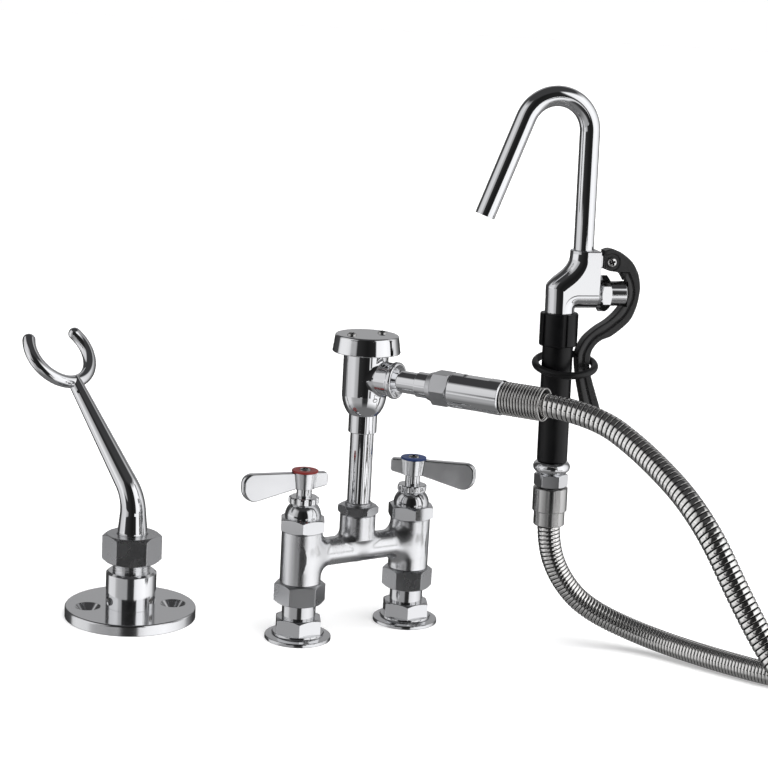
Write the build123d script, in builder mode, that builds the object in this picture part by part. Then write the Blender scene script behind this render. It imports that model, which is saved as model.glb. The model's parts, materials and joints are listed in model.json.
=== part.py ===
from build123d import *
import os
from math import sin, cos, tan, radians, sqrt, pi, acos, asin

os.makedirs("parts", exist_ok=True)

# ---------------------------------------------------------------- driving dimensions, mm and degrees
inlet_centres = 101.6          # distance between the hot and cold inlets
flange_r, flange_t = 26.0, 2.8
base_hex_af, base_hex_top = 34.2, 17.5
neck_r = 13.2
inlet_thread_r, inlet_thread_l = 9.3, 14.0
nut_af, nut_z0, nut_z1 = 35.0, 29.0, 45.5
column_r, column_top = 16.0, 87.0
bonnet_af, bonnet_hex_top, bonnet_top = 33.2, 98.0, 108.5
packing_r, packing_top = 11.85, 114.4
stem_r, sleeve_r = 4.5, 5.9
hub_z0, hub_z1 = 120.7, 133.7
cold_lift = 1.3               # the cold handle stands a little higher
lever_reach, lever_stub, lever_half_t = 51.0, 18.0, 3.3
hot_lever_deg, cold_lever_deg = 166.8, -41.2
bridge_z, bridge_r = 67.3, 11.1
boss_r, boss_top = 14.1, 95.3
outlet_nut_af, outlet_nut_top = 28.0, 102.7
riser_r, riser_bore_r, riser_z0, riser_z1 = 9.2, 8.2, 84.5, 171.0
vb_r, vb_z0, vb_z1 = 17.5, 175.6, 225.0
cap_r, cap_top = 26.5, 239.0
outlet_z, outlet_deg = 206.1, -63.1
adapter_r, adapter_end, guard_end, mouth_end = 13.3, 120.0, 150.8, 154.0
hose_r = 8.85
coil_x, coil_y, coil_r = 222.9, -419.5, 103.0
coil_low_z, coil_high_z = 8.95, 27.4
nozzle_at = (121.03, -89.28, 96.52)
nozzle_up = (-0.01733, 0.01176, 0.99978)
nozzle_side = (0.9258, -0.3769, 0.0205)
grip_r, grip_z0, grip_z1 = 11.85, 51.7, 143.0
collar_r, collar_z1 = 14.75, 168.6
valve_neck_r = 11.4
valve_axis_z, chamber_r, valve_face_x = 183.5, 11.2, 28.0
spout_x, spout_r, spout_bore_r = 16.6, 7.7, 6.4
spout_bend_r, spout_bend_z, spout_bend_deg = 26.15, 306.95, 158.8
spout_tail = 79.4
pivot_x, pivot_z = 38.0, 208.3
lever_shift = -2.3            # lever outline moved along the side axis
ring_bend_r, ring_bar_r = 22.9, 2.8
holder_x, holder_y = -146.1, 101.7
holder_flange_r, holder_flange_t = 52.0, 8.7
holder_bolt_r, holder_bolt_deg = 34.1, 162.1
post_r, post_top = 20.0, 37.8
holder_nut_af, holder_nut_z0, holder_nut_z1 = 41.0, 45.4, 68.0
arm_deg, arm_bend_z, arm_reach, arm_top_z = 108.7, 98.0, 69.7, 179.7
fork_bar_r, fork_bend_r, fork_half_deg = 5.2, 28.4, 120.0


# ---------------------------------------------------------------- shared shapes
def side_plane(at):
    """Plane through the axis of `at`: local x is the radius, local y runs along the axis."""
    return Plane(origin=at.origin, x_dir=at.x_dir, z_dir=-at.y_dir)


def lathe(at, *profile, mode=Mode.ADD):
    """Turned shape around the z axis of `at`; (r, z) points, (rm, zm, r, z) arcs."""
    with BuildSketch(side_plane(at)) as section:
        with BuildLine():
            here = profile[0]
            for item in profile[1:] + profile[:1]:
                if len(item) == 4:
                    ThreePointArc(here, item[:2], item[2:])
                    here = item[2:]
                elif abs(item[0] - here[0]) + abs(item[1] - here[1]) > 1e-6:
                    Line(here, item)
                    here = item
        make_face()
    revolve(section.sketch, axis=Axis(at.origin, at.z_dir), mode=mode)


def dome(r, z_edge, z_top):
    """Arc of a ball cap from its rim at (r, z_edge) to its crown on the axis."""
    h = abs(z_top - z_edge)
    ball = (r * r + h * h) / (2 * h)
    half_deg = asin(min(1.0, r / ball)) / 2 if h <= r else (pi - asin(r / ball)) / 2
    way = 1 if z_top > z_edge else -1
    return (ball * sin(half_deg), z_top - way * ball * (1 - cos(half_deg)), 0, z_top)


def hex_prism(at, flats, z0, z1, corner_deg, low=True, high=True):
    """Hexagon bar along the z axis of `at` with turned corners at its ends."""
    r = flats / 2
    big = r / cos(radians(30))
    drop = (big - r + 0.6) * tan(radians(28))
    with BuildPart() as prism:
        with BuildSketch(at.offset(z0)):
            Polygon(
                *[
                    (big * cos(radians(corner_deg + 60 * k)), big * sin(radians(corner_deg + 60 * k)))
                    for k in range(6)
                ],
                align=None,
            )
        extrude(amount=z1 - z0)
        with BuildSketch(side_plane(at)):
            with BuildLine():
                Polyline(
                    (0, z0),
                    (r - 0.6 if low else big + 1, z0),
                    (big, z0 + drop) if low else (big + 1, z0 + drop),
                    (big, z1 - drop) if high else (big + 1, z1 - drop),
                    (r - 0.6 if high else big + 1, z1),
                    (0, z1),
                    close=True,
                )
            make_face()
        revolve(axis=Axis(at.origin, at.z_dir), mode=Mode.INTERSECT)
    return prism.part


def tangent_route(points, share=0.45):
    """Runs and tangent arcs of a hose route; each bend takes the same share of its shorter run."""
    P = [Vector(*p) for p in points]
    pieces, start, radii, length = [], P[0], [], 0.0
    for a, b, c in zip(P, P[1:], P[2:]):
        u, v = (b - a).normalized(), (c - b).normalized()
        turn = acos(max(-1, min(1, u.dot(v))))
        first, last = a == P[0], c == P[-1]
        t = min((b - a).length * (0.9 if first else share), (c - b).length * (0.9 if last else share))
        r = t / tan(turn / 2)
        t1, t2 = b - u * t, b + v * t
        mid = b + (v - u).normalized() * (r / cos(turn / 2) - r)
        pieces += [("line", start, t1), ("arc", t1, mid, t2)]
        length += (t1 - start).length + r * turn
        radii.append(round(r, 1))
        start = t2
    pieces.append(("line", start, P[-1]))
    length += (P[-1] - start).length
    return pieces, radii, length


origin_plane = Plane.XY
columns = (
    ("hot", -inlet_centres / 2, hot_lever_deg, 215.7, 239.6, 0.0),
    ("cold", inlet_centres / 2, cold_lever_deg, 209.8, 246.8, cold_lift),
)

# ---------------------------------------------------------------- inlet and valve columns
for side, x, lever_deg, nut_corner, bonnet_corner, lift in columns:
    col = Plane(origin=(x, 0, 0))
    hub_low, hub_high = hub_z0 + lift, hub_z1 + lift

    foot_hex = hex_prism(col, base_hex_af, 3.0, base_hex_top, 241.8, low=False)
    with BuildPart() as flanged_inlet:
        lathe(
            col,
            (0, 0), (flange_r, 0), (flange_r, 1.9), (flange_r - 0.3, 2.6, flange_r - 0.9, flange_t),
            (21.4, 3.5), (20.3, 4.2, 19.7, 5.6), (0, 5.6),
        )
        add(foot_hex)
        lathe(col, (0, 10), (neck_r, 10), (neck_r, 32), (14.6, 32), (14.6, 36), (0, 36))
        lathe(
            col,
            (0, -1), (inlet_thread_r, -1), (inlet_thread_r, inlet_thread_l), (7.6, inlet_thread_l + 1.7), (7.6, 37), (0, 37),
            mode=Mode.SUBTRACT,
        )
    flanged_inlet.part.label = f"flanged_inlet_{side}"
    export_step(flanged_inlet.part, f"parts/flanged_inlet_{side}.step")

    nut_hex = hex_prism(col, nut_af, nut_z0, nut_z1, nut_corner)
    with BuildPart() as coupling_nut:
        add(nut_hex)
        lathe(col, (0, 28), (13.35, 28), (13.35, 32), (15.2, 32), (15.2, 46), (0, 46), mode=Mode.SUBTRACT)
    coupling_nut.part.label = f"coupling_nut_{side}"
    export_step(coupling_nut.part, f"parts/coupling_nut_{side}.step")

    with BuildPart() as inlet_washer:
        lathe(col, (8, 36), (14.4, 36), (14.4, 38), (8, 38))
    inlet_washer.part.label = f"inlet_washer_{side}"
    export_step(inlet_washer.part, f"parts/inlet_washer_{side}.step")

    bonnet_hex = hex_prism(col, bonnet_af, column_top, bonnet_hex_top, bonnet_corner)
    with BuildPart() as bonnet:
        add(bonnet_hex)
        lathe(col, (0, 79), (10.9, 79), (10.9, 88), (0, 88))
        lathe(col, (0, 97), (14.25, 97), (14.25, 98.6), (13.0, 104.2, 9.75, bonnet_top), (0, bonnet_top))
        lathe(col, (0, 78), (5.0, 78), (5.0, 103), (8.2, 103), (8.2, 109), (0, 109), mode=Mode.SUBTRACT)
    bonnet.part.label = f"bonnet_{side}"
    export_step(bonnet.part, f"parts/bonnet_{side}.step")

    with BuildPart() as packing_nut:
        lathe(
            col,
            (sleeve_r + 0.05, bonnet_top), (packing_r - 0.6, bonnet_top), (packing_r, bonnet_top + 0.6),
            (packing_r, packing_top - 1.4), (packing_r - 0.4, packing_top - 0.4, packing_r - 1.4, packing_top),
            (sleeve_r + 0.05, packing_top),
        )
        with BuildSketch(col.offset(bonnet_top - 1)) as scallops:
            with PolarLocations(14.0, 8, start_angle=lever_deg):
                Circle(3.4)
        extrude(scallops.sketch, amount=12, mode=Mode.SUBTRACT)
    packing_nut.part.label = f"packing_nut_{side}"
    export_step(packing_nut.part, f"parts/packing_nut_{side}.step")

    with BuildPart() as stem:
        lathe(
            col,
            (0, 66), (7, 66), (7, 70), (stem_r, 70), (stem_r, 108.7), (sleeve_r, 108.7), (sleeve_r, hub_low),
            (4, hub_low), (4, hub_low + 9.3), (0, hub_low + 9.3),
        )
        lathe(col, (0, hub_low + 1.3), (2.05, hub_low + 1.3), (2.05, hub_low + 10.3), (0, hub_low + 10.3), mode=Mode.SUBTRACT)
    stem.part.label = f"stem_{side}"
    export_step(stem.part, f"parts/stem_{side}.step")

    with BuildPart() as stem_seal:
        lathe(col, (4.9, 103.2), (8.1, 103.2), (8.1, 108.3), (4.9, 108.3))
    stem_seal.part.label = f"stem_seal_{side}"
    export_step(stem_seal.part, f"parts/stem_seal_{side}.step")

    with BuildPart() as seat_washer:
        lathe(col, (0, 63.7), (6.8, 63.7), (6.8, 66), (0, 66))
    seat_washer.part.label = f"seat_washer_{side}"
    export_step(seat_washer.part, f"parts/seat_washer_{side}.step")

    along = (cos(radians(lever_deg)), sin(radians(lever_deg)), 0)
    blade_plane = Plane(origin=(x, 0, 0), x_dir=along, z_dir=(along[1], -along[0], 0))
    with BuildPart() as lever:
        with BuildSketch(blade_plane) as blade:
            with BuildLine():
                Polyline(
                    (-lever_stub, hub_low + 2.5), (-lever_stub, hub_high - 0.3), (lever_reach - 0.6, hub_high - 0.1), (lever_reach, hub_low - 11.9),
                    (7.0, hub_low + 0.2), (-8, hub_low + 0.2), close=True,
                )
            make_face()
            fillet(blade.vertices().filter_by(lambda v: v.X > 40 and v.Y > 125), 7.0)
            fillet(blade.vertices().filter_by(lambda v: v.X > 40 and v.Y < 112), 10.0)
            fillet(blade.vertices().filter_by(lambda v: v.X < -17), 2.5)
        extrude(amount=lever_half_t, both=True)
        fillet(
            lever.edges().filter_by(lambda e: abs(abs(blade_plane.to_local_coords(e.center()).Z) - lever_half_t) < 0.01), 0.9
        )
        lathe(col, (0, hub_low), (7.4, hub_low), (8.8, hub_high), (0, hub_high))
        lathe(
            col,
            (0, hub_low - 1), (4.05, hub_low - 1), (4.05, hub_low + 9.4), (2.3, hub_low + 9.4), (2.3, hub_high + 1.3), (0, hub_high + 1.3),
            mode=Mode.SUBTRACT,
        )
    lever.part.label = f"lever_{side}"
    export_step(lever.part, f"parts/lever_{side}.step")

    with BuildPart() as index_ring:
        lathe(
            col,
            (4.7, hub_high), (10.0, hub_high), (10.3, hub_high + 0.3), (10.3, hub_high + 1.3), (9.9, hub_high + 1.7), (5.0, hub_high + 1.7),
            (4.7, hub_high + 1.4),
        )
    index_ring.part.label = f"index_ring_{side}"
    export_step(index_ring.part, f"parts/index_ring_{side}.step")

    with BuildPart() as handle_screw:
        lathe(
            col,
            (0, hub_low + 2.3), (2, hub_low + 2.3), (2, hub_high), (4.5, hub_high), (4.5, hub_high + 1.5),
            dome(4.5, hub_high + 1.5, hub_high + 3.4),
        )
    handle_screw.part.label = f"handle_screw_{side}"
    export_step(handle_screw.part, f"parts/handle_screw_{side}.step")

# ---------------------------------------------------------------- bridge casting
cross = Plane(origin=(0, 0, bridge_z), x_dir=(0, 0, 1), z_dir=(1, 0, 0))
half = inlet_centres / 2
with BuildPart() as bridge_body:
    for x in (-half, half):
        lathe(
            Plane(origin=(x, 0, 0)),
            (0, 45.5), (column_r - 0.5, 45.5), (column_r, 46.0), (column_r, column_top - 0.8), (column_r - 0.8, column_top),
            (0, column_top),
        )
    lathe(cross, (0, -half), (bridge_r, -half), (bridge_r, half), (0, half))
    lathe(
        origin_plane,
        (0, 60.5), (6, 61.2, 10.5, 65), (13.2, 71.0, boss_r, 79), (boss_r, boss_top - 0.5), (boss_r - 0.5, boss_top), (0, boss_top),
    )
    fillet(
        bridge_body.edges().filter_by(
            lambda e: e.geom_type not in (GeomType.LINE, GeomType.CIRCLE) and abs(e.center().X) > 25
        ),
        6.0,
    )
    for x in (-half, half):
        lathe(Plane(origin=(x, 0, 0)), (0, 38), (15.1, 38), (15.1, 45.6), (0, 45.6))
        lathe(
            Plane(origin=(x, 0, 0)),
            (0, 37), (7.6, 37), (7.6, 58), (5, 58), (5, 63.3), (11, 63.3), (11, 88), (0, 88),
            mode=Mode.SUBTRACT,
        )
    lathe(cross, (0, -half), (6.5, -half), (6.5, half), (0, half), mode=Mode.SUBTRACT)
    lathe(origin_plane, (0, bridge_z), (7, bridge_z), (7, 82), (10.6, 82), (10.6, 96), (0, 96), mode=Mode.SUBTRACT)
bridge_body.part.label = "bridge_body"
export_step(bridge_body.part, "parts/bridge_body.step")

# ---------------------------------------------------------------- riser
gland_hex = hex_prism(origin_plane, outlet_nut_af, boss_top, outlet_nut_top, 204.5)
with BuildPart() as outlet_nut:
    add(gland_hex)
    lathe(origin_plane, (0, 88), (10.5, 88), (10.5, 96), (0, 96))
    lathe(origin_plane, (0, 102), (10.6, 102), (10.6, 104.4), (10.0, 105), (0, 105))
    lathe(origin_plane, (0, 87), (riser_r + 0.05, 87), (riser_r + 0.05, 106), (0, 106), mode=Mode.SUBTRACT)
outlet_nut.part.label = "outlet_nut"
export_step(outlet_nut.part, "parts/outlet_nut.step")

with BuildPart() as riser_pipe:
    lathe(origin_plane, (riser_bore_r, riser_z0), (riser_r, riser_z0), (riser_r, riser_z1), (riser_bore_r, riser_z1))
riser_pipe.part.label = "riser_pipe"
export_step(riser_pipe.part, "parts/riser_pipe.step")

with BuildPart() as riser_seal:
    lathe(origin_plane, (7.2, 82), (10.4, 82), (10.4, riser_z0), (7.2, riser_z0))
riser_seal.part.label = "riser_seal"
export_step(riser_seal.part, "parts/riser_seal.step")

# ---------------------------------------------------------------- vacuum breaker
out_dir = (cos(radians(outlet_deg)), sin(radians(outlet_deg)), 0)
outlet = Plane(origin=(0, 0, outlet_z), x_dir=(0, 0, 1), z_dir=out_dir)

with BuildPart() as vacuum_breaker_body:
    lathe(
        origin_plane,
        (0, vb_z0), (11.6, vb_z0), (15.55, 181.3, vb_r, 190.0), (vb_r, vb_z1), (0, vb_z1),
    )
    lathe(outlet, (0, 4), (13.2, 4), (13.2, 28), (0, 28))
    fillet(
        vacuum_breaker_body.edges().filter_by(lambda e: e.geom_type not in (GeomType.LINE, GeomType.CIRCLE)), 1.8
    )
    lathe(outlet, (0, 24.6), (13.2, 24.6), (14.4, 25.8), (14.4, 28.3), (14.0, 29.2, 13.2, 29.5), (0, 29.5))
    lathe(origin_plane, (0, 161.3), (10.5, 161.3), (11.15, 162.0), (11.15, vb_z0 + 2), (0, vb_z0 + 2))
    lathe(
        origin_plane,
        (0, 160), (riser_r + 0.05, 160), (riser_r + 0.05, 172), (6.5, 172), (6.5, 188), (9.55, 188), (9.55, 190), (10.8, 190), (10.8, 226), (0, 226),
        mode=Mode.SUBTRACT,
    )
    lathe(outlet, (0, 0), (6.5, 0), (6.5, 18), (8.55, 18), (8.55, 25.6), (12.3, 29.5), (12.3, 31), (0, 31), mode=Mode.SUBTRACT)
    for x in (-14, 14):
        lathe(Plane(origin=(x, 0, 0)), (0, 217), (1.6, 217), (1.6, 226), (0, 226), mode=Mode.SUBTRACT)
vacuum_breaker_body.part.label = "vacuum_breaker_body"
export_step(vacuum_breaker_body.part, "parts/vacuum_breaker_body.step")

with BuildPart() as vacuum_breaker_seat:
    lathe(origin_plane, (6.6, 188), (9.5, 188), (9.5, 190), (6.6, 190))
vacuum_breaker_seat.part.label = "vacuum_breaker_seat"
export_step(vacuum_breaker_seat.part, "parts/vacuum_breaker_seat.step")

with BuildPart() as vacuum_breaker_float:
    lathe(origin_plane, (0, 190.4), (9.3, 190.4), (9.3, 194), (3, 194), (3, 223), (0, 223))
vacuum_breaker_float.part.label = "vacuum_breaker_float"
export_step(vacuum_breaker_float.part, "parts/vacuum_breaker_float.step")

with BuildPart() as vacuum_breaker_cap:
    lathe(
        origin_plane,
        (3.05, 219), (10.6, 219), (10.6, vb_z1), (cap_r - 0.8, vb_z1), (cap_r - 0.2, vb_z1 + 0.2, cap_r, vb_z1 + 0.8),
        (cap_r - 1.6, 237.0), (cap_r - 2.1, 238.4, cap_r - 3.6, cap_top), (0, cap_top), (0, 229), (3.05, 229),
    )
    for x in (-14, 14):
        lathe(Plane(origin=(x, 0, 0)), (0, 218), (1.7, 218), (1.7, 240), (0, 240), mode=Mode.SUBTRACT)
vacuum_breaker_cap.part.label = "vacuum_breaker_cap"
export_step(vacuum_breaker_cap.part, "parts/vacuum_breaker_cap.step")

with BuildPart() as cap_screws:
    for x in (-14, 14):
        lathe(
            Plane(origin=(x, 0, 0)),
            (0, 218), (1.5, 218), (1.5, cap_top), (3.7, cap_top), (3.7, cap_top + 0.7), dome(3.7, cap_top + 0.7, cap_top + 2.2),
        )
cap_screws.part.label = "cap_screws"
export_step(cap_screws.part, "parts/cap_screws.step")

# ---------------------------------------------------------------- outlet to the hose
with BuildPart() as outlet_nipple:
    lathe(
        outlet,
        (6, 18.2), (8.5, 18.2), (8.5, 47.5), (9.3, 47.5), (9.7, 47.9), (9.7, 57.5), (8.5, 57.5), (8.5, 63), (6, 63),
    )
outlet_nipple.part.label = "outlet_nipple"
export_step(outlet_nipple.part, "parts/outlet_nipple.step")

union_hex = hex_prism(outlet, 24.4, 62.0, 77.0, 34)
with BuildPart() as hose_union_nut:
    add(union_hex)
    lathe(outlet, (0, 57.5), (10.2, 57.5), (10.6, 57.9), (12.0, 62.6), (0, 62.6))
    lathe(outlet, (0, 57), (8.6, 57), (8.6, 63.2), (10.5, 63.2), (10.5, 78), (0, 78), mode=Mode.SUBTRACT)
hose_union_nut.part.label = "hose_union_nut"
export_step(hose_union_nut.part, "parts/hose_union_nut.step")

with BuildPart() as hose_adapter:
    lathe(
        outlet,
        (6, 64), (10.4, 64), (10.4, 77), (adapter_r - 0.8, 77), (adapter_r, 77.8), (adapter_r, adapter_end - 1.0),
        (adapter_r - 1.0, adapter_end), (6, adapter_end),
    )
    with BuildSketch(outlet.offset(87)) as flats:
        for x in (-17.3, 17.3):
            Polygon((x - 5, -20), (x + 5, -20), (x + 5, 20), (x - 5, 20), align=None)
    extrude(flats.sketch, amount=22, mode=Mode.SUBTRACT)
hose_adapter.part.label = "hose_adapter"
export_step(hose_adapter.part, "parts/hose_adapter.step")

coils, pitch = 12, (guard_end - adapter_end) / 12
guard_profile = [(8.0, adapter_end), (11.7, adapter_end)]
for k in range(coils):
    z = adapter_end + k * pitch
    guard_profile.append((12.75, z + pitch / 2, 11.7, z + pitch))
guard_profile += [
    (12.2, guard_end), (12.9, guard_end + 0.7), (12.9, mouth_end - 1.2), (12.5, mouth_end - 0.3, 11.6, mouth_end), (9.4, mouth_end),
    (9.05, mouth_end - 0.4), (9.05, guard_end - 0.1), (8.0, guard_end - 0.1),
]
with BuildPart() as hose_guard_spring:
    lathe(outlet, *guard_profile)
hose_guard_spring.part.label = "hose_guard_spring"
export_step(hose_guard_spring.part, "parts/hose_guard_spring.step")

# ---------------------------------------------------------------- hose
guard_mouth = tuple(outlet.from_local_coords(Vector(0, 0, guard_end)))
high_end = (coil_x + coil_r * cos(radians(171.84)), coil_y + coil_r * sin(radians(171.84)), coil_high_z)
low_end = (coil_x + coil_r * cos(radians(35.84)), coil_y + coil_r * sin(radians(35.84)), coil_low_z)
upper_route = [
    guard_mouth, (86.4, -170.3, 206.1), (99.9, -217.0, 185.0), (99.6, -279.4, 154.9), (111.8, -318.2, 94.6),
    (120.9, -345.9, 59.5), (124.0, -383.5, 36.9), high_end,
]
lower_route = [
    low_end, (271.3, -310.6, coil_low_z), (223.2, -257.5, coil_low_z), (202.4, -202.2, coil_low_z), (182.8, -146.4, 12.0),
    (148.3, -111.4, 29.3), (130.9, -96.7, 51.9), (121.31, -89.47, 80.52), nozzle_at,
]

upper_pieces, upper_radii, upper_length = tangent_route(upper_route)
with BuildPart() as hose_upper_run:
    with BuildLine() as upper_line:
        for piece in upper_pieces:
            if piece[0] == "line":
                Line(piece[1], piece[2])
            else:
                ThreePointArc(*piece[1:])
    with BuildSketch(Plane(origin=upper_route[0], z_dir=Vector(*upper_route[1]) - Vector(*upper_route[0]))):
        Circle(hose_r)
    sweep(path=upper_line.wire())
hose_upper_run.part.label = "hose_upper_run"
export_step(hose_upper_run.part, "parts/hose_upper_run.step")

lower_pieces, lower_radii, lower_length = tangent_route(lower_route)
with BuildPart() as hose_lower_run:
    with BuildLine() as lower_line:
        for piece in lower_pieces:
            if piece[0] == "line":
                Line(piece[1], piece[2])
            else:
                ThreePointArc(*piece[1:])
    with BuildSketch(Plane(origin=lower_route[0], z_dir=Vector(*lower_route[1]) - Vector(*lower_route[0]))):
        Circle(hose_r)
    sweep(path=lower_line.wire())
hose_lower_run.part.label = "hose_lower_run"
export_step(hose_lower_run.part, "parts/hose_lower_run.step")

coil_plane = Plane(origin=(coil_x, coil_y, 0))
with BuildPart() as hose_coil:
    lathe(
        coil_plane,
        (coil_r - hose_r, coil_low_z), (coil_r, coil_low_z - hose_r, coil_r + hose_r, coil_low_z),
        (coil_r + hose_r, coil_high_z), (coil_r, coil_high_z + hose_r, coil_r - hose_r, coil_high_z),
    )
hose_coil.part.label = "hose_coil"
export_step(hose_coil.part, "parts/hose_coil.step")

# ---------------------------------------------------------------- nozzle handle
nozzle = Plane(origin=nozzle_at, x_dir=nozzle_side, z_dir=nozzle_up)
nozzle_side_plane = side_plane(nozzle)
valve = Plane(origin=nozzle.from_local_coords(Vector(0, 0, valve_axis_z)), x_dir=nozzle.z_dir, z_dir=nozzle.x_dir)
socket = Plane(origin=nozzle.from_local_coords(Vector(spout_x, 0, 0)), x_dir=nozzle.x_dir, z_dir=nozzle.z_dir)
pivot = Plane(origin=nozzle.from_local_coords(Vector(pivot_x, 0, pivot_z)), x_dir=nozzle.x_dir, z_dir=nozzle.y_dir)

with BuildPart() as hose_ferrule:
    lathe(
        nozzle,
        (5.5, 0), (11.5, 0), (12.1, 0.6), (12.1, 11.4), (12.9, 11.4), (13.5, 12.0), (13.5, 29.9), (12.8, 30.6), (7.05, 30.6),
        (7.05, 17.6), (9.4, 17.6), (9.4, 13), (5.5, 13),
    )
hose_ferrule.part.label = "hose_ferrule"
export_step(hose_ferrule.part, "parts/hose_ferrule.step")

with BuildPart() as handle_tube:
    lathe(nozzle, (5, 13.4), (9.0, 13.4), (9.0, 17.2), (7, 17.2), (7, 31.0), (8, 31.0), (8, 172), (5, 172))
handle_tube.part.label = "handle_tube"
export_step(handle_tube.part, "parts/handle_tube.step")

small_hex = hex_prism(nozzle, 23.0, 31.0, 41.7, 282)
with BuildPart() as handle_nut:
    add(small_hex)
    lathe(nozzle, (0, 30), (8.05, 30), (8.05, 43), (0, 43), mode=Mode.SUBTRACT)
handle_nut.part.label = "handle_nut"
export_step(handle_nut.part, "parts/handle_nut.step")

bumper_edge = sqrt(4.6**2 - 1.75**2)
with BuildPart() as handle_ring:
    lathe(nozzle, (8.05, 47 - bumper_edge), (14.4, 47, 8.05, 47 + bumper_edge))
handle_ring.part.label = "handle_ring"
export_step(handle_ring.part, "parts/handle_ring.step")

with BuildPart() as grip:
    lathe(nozzle, (8.05, grip_z0), (grip_r - 0.6, grip_z0), (grip_r, grip_z0 + 0.6), (grip_r, grip_z1), (8.05, grip_z1))
grip.part.label = "grip"
export_step(grip.part, "parts/grip.step")

with BuildPart() as grip_collar:
    lathe(
        nozzle,
        (8.05, grip_z1), (collar_r - 1.2, grip_z1), (collar_r, grip_z1 + 1.2), (collar_r, collar_z1 - 2.0),
        (collar_r - 0.6, collar_z1 - 0.6, collar_r - 2.0, collar_z1), (8.05, collar_z1),
    )
    with BuildSketch(nozzle.offset(grip_z1 - 1)) as grooves:
        with PolarLocations(collar_r + 1.2, 5, start_angle=-85):
            Rectangle(5.9, 2.7)
    extrude(grooves.sketch, amount=28, mode=Mode.SUBTRACT)
grip_collar.part.label = "grip_collar"
export_step(grip_collar.part, "parts/grip_collar.step")

# ---------------------------------------------------------------- nozzle valve
with BuildPart() as valve_body:
    with BuildSketch(nozzle_side_plane) as web:
        with BuildLine():
            Polyline(
                (-4.0, 178), (-9.0, 189.0), (-6.4, 194.6), (1.2, 201.9), (5.4, 207.6), (6.6, 212.6), (6.8, 215.6),
                (valve_face_x - 0.5, 215.6), (valve_face_x, 215.1), (valve_face_x, 173.4), (6, 173.4), close=True,
            )
        make_face()
    extrude(amount=9.0, both=True)
    lathe(nozzle, (0, collar_z1), (valve_neck_r - 0.5, collar_z1), (valve_neck_r, collar_z1 + 0.5), (valve_neck_r, 186.4), (9.6, 191.6), (6.0, 194.2), (0, 194.2))
    lathe(valve, (0, 0), (chamber_r, 0), (chamber_r, valve_face_x + 0.3), (chamber_r - 0.5, valve_face_x + 0.8), (0, valve_face_x + 0.8))
    lathe(socket, (0, 196), (9.6, 196), (9.6, 215.2), (8.8, 216), (0, 216))
    with BuildSketch(nozzle_side_plane) as ear:
        with BuildLine():
            Line((24, pivot_z - 5.2), (pivot_x, pivot_z - 5.2))
            ThreePointArc((pivot_x, pivot_z - 5.2), (pivot_x + 5.2, pivot_z), (pivot_x, pivot_z + 5.2))
            Polyline((pivot_x, pivot_z + 5.2), (24, pivot_z + 5.2), (24, pivot_z - 5.2))
        make_face()
    extrude(ear.sketch, amount=2.4, both=True)
    lathe(nozzle, (0, 168), (8.05, 168), (8.05, 172), (5, 172), (5, 180), (0, 180), mode=Mode.SUBTRACT)
    lathe(valve, (0, -3), (9.05, -3), (9.05, valve_face_x + 2), (0, valve_face_x + 2), mode=Mode.SUBTRACT)
    lathe(socket, (0, valve_axis_z), (6.0, valve_axis_z), (6.0, 203), (spout_r + 0.05, 203), (spout_r + 0.05, 217), (0, 217), mode=Mode.SUBTRACT)
    lathe(pivot, (0, -4), (2.02, -4), (2.02, 4), (0, 4), mode=Mode.SUBTRACT)
valve_body.part.label = "valve_body"
export_step(valve_body.part, "parts/valve_body.step")

bend_x = spout_x - spout_bend_r
mid_deg, end_deg = radians(spout_bend_deg / 2), radians(spout_bend_deg)
bend_end = (bend_x + spout_bend_r * cos(end_deg), spout_bend_z + spout_bend_r * sin(end_deg))
tail_end = (bend_end[0] - spout_tail * sin(end_deg), bend_end[1] + spout_tail * cos(end_deg))
with BuildPart() as spout:
    with BuildLine(nozzle_side_plane) as spout_line:
        Line((spout_x, 203), (spout_x, spout_bend_z))
        ThreePointArc(
            (spout_x, spout_bend_z), (bend_x + spout_bend_r * cos(mid_deg), spout_bend_z + spout_bend_r * sin(mid_deg)), bend_end
        )
        Line(bend_end, tail_end)
    with BuildSketch(socket.offset(203)):
        Circle(spout_r)
        Circle(spout_bore_r, mode=Mode.SUBTRACT)
    sweep(path=spout_line.wire())
spout.part.label = "spout"
export_step(spout.part, "parts/spout.step")

face_hex = hex_prism(valve, 24.5, 29.4, 37.8, 0)
with BuildPart() as gland_nut:
    add(face_hex)
    lathe(valve, (0, valve_face_x + 0.8), (10.6, valve_face_x + 0.8), (10.6, 29.9), (0, 29.9))
    lathe(valve, (0, 19.2), (9.0, 19.2), (9.0, 29.6), (0, 29.6))
    lathe(valve, (0, 18), (4.85, 18), (4.85, 33.6), (9.98, 33.6), (9.98, 39), (0, 39), mode=Mode.SUBTRACT)
gland_nut.part.label = "gland_nut"
export_step(gland_nut.part, "parts/gland_nut.step")

with BuildPart() as plunger:
    lathe(
        valve,
        (0, 2.0), (2.4, 2.0), (2.4, 12), (stem_r, 12), (stem_r, 36.2), (9.65, 36.2), (9.65, 50.4), (8.9, 51.1), dome(8.9, 51.1, 51.7),
    )
plunger.part.label = "plunger"
export_step(plunger.part, "parts/plunger.step")

with BuildPart() as valve_disc:
    lathe(valve, (2.45, 4.2), (7.4, 4.2), (7.4, 6.6), (2.45, 6.6))
valve_disc.part.label = "valve_disc"
export_step(valve_disc.part, "parts/valve_disc.step")

with BuildPart() as valve_seat:
    lathe(valve, (4.9, 7), (9.0, 7), (9.0, 9), (4.9, 9))
valve_seat.part.label = "valve_seat"
export_step(valve_seat.part, "parts/valve_seat.step")

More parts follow.
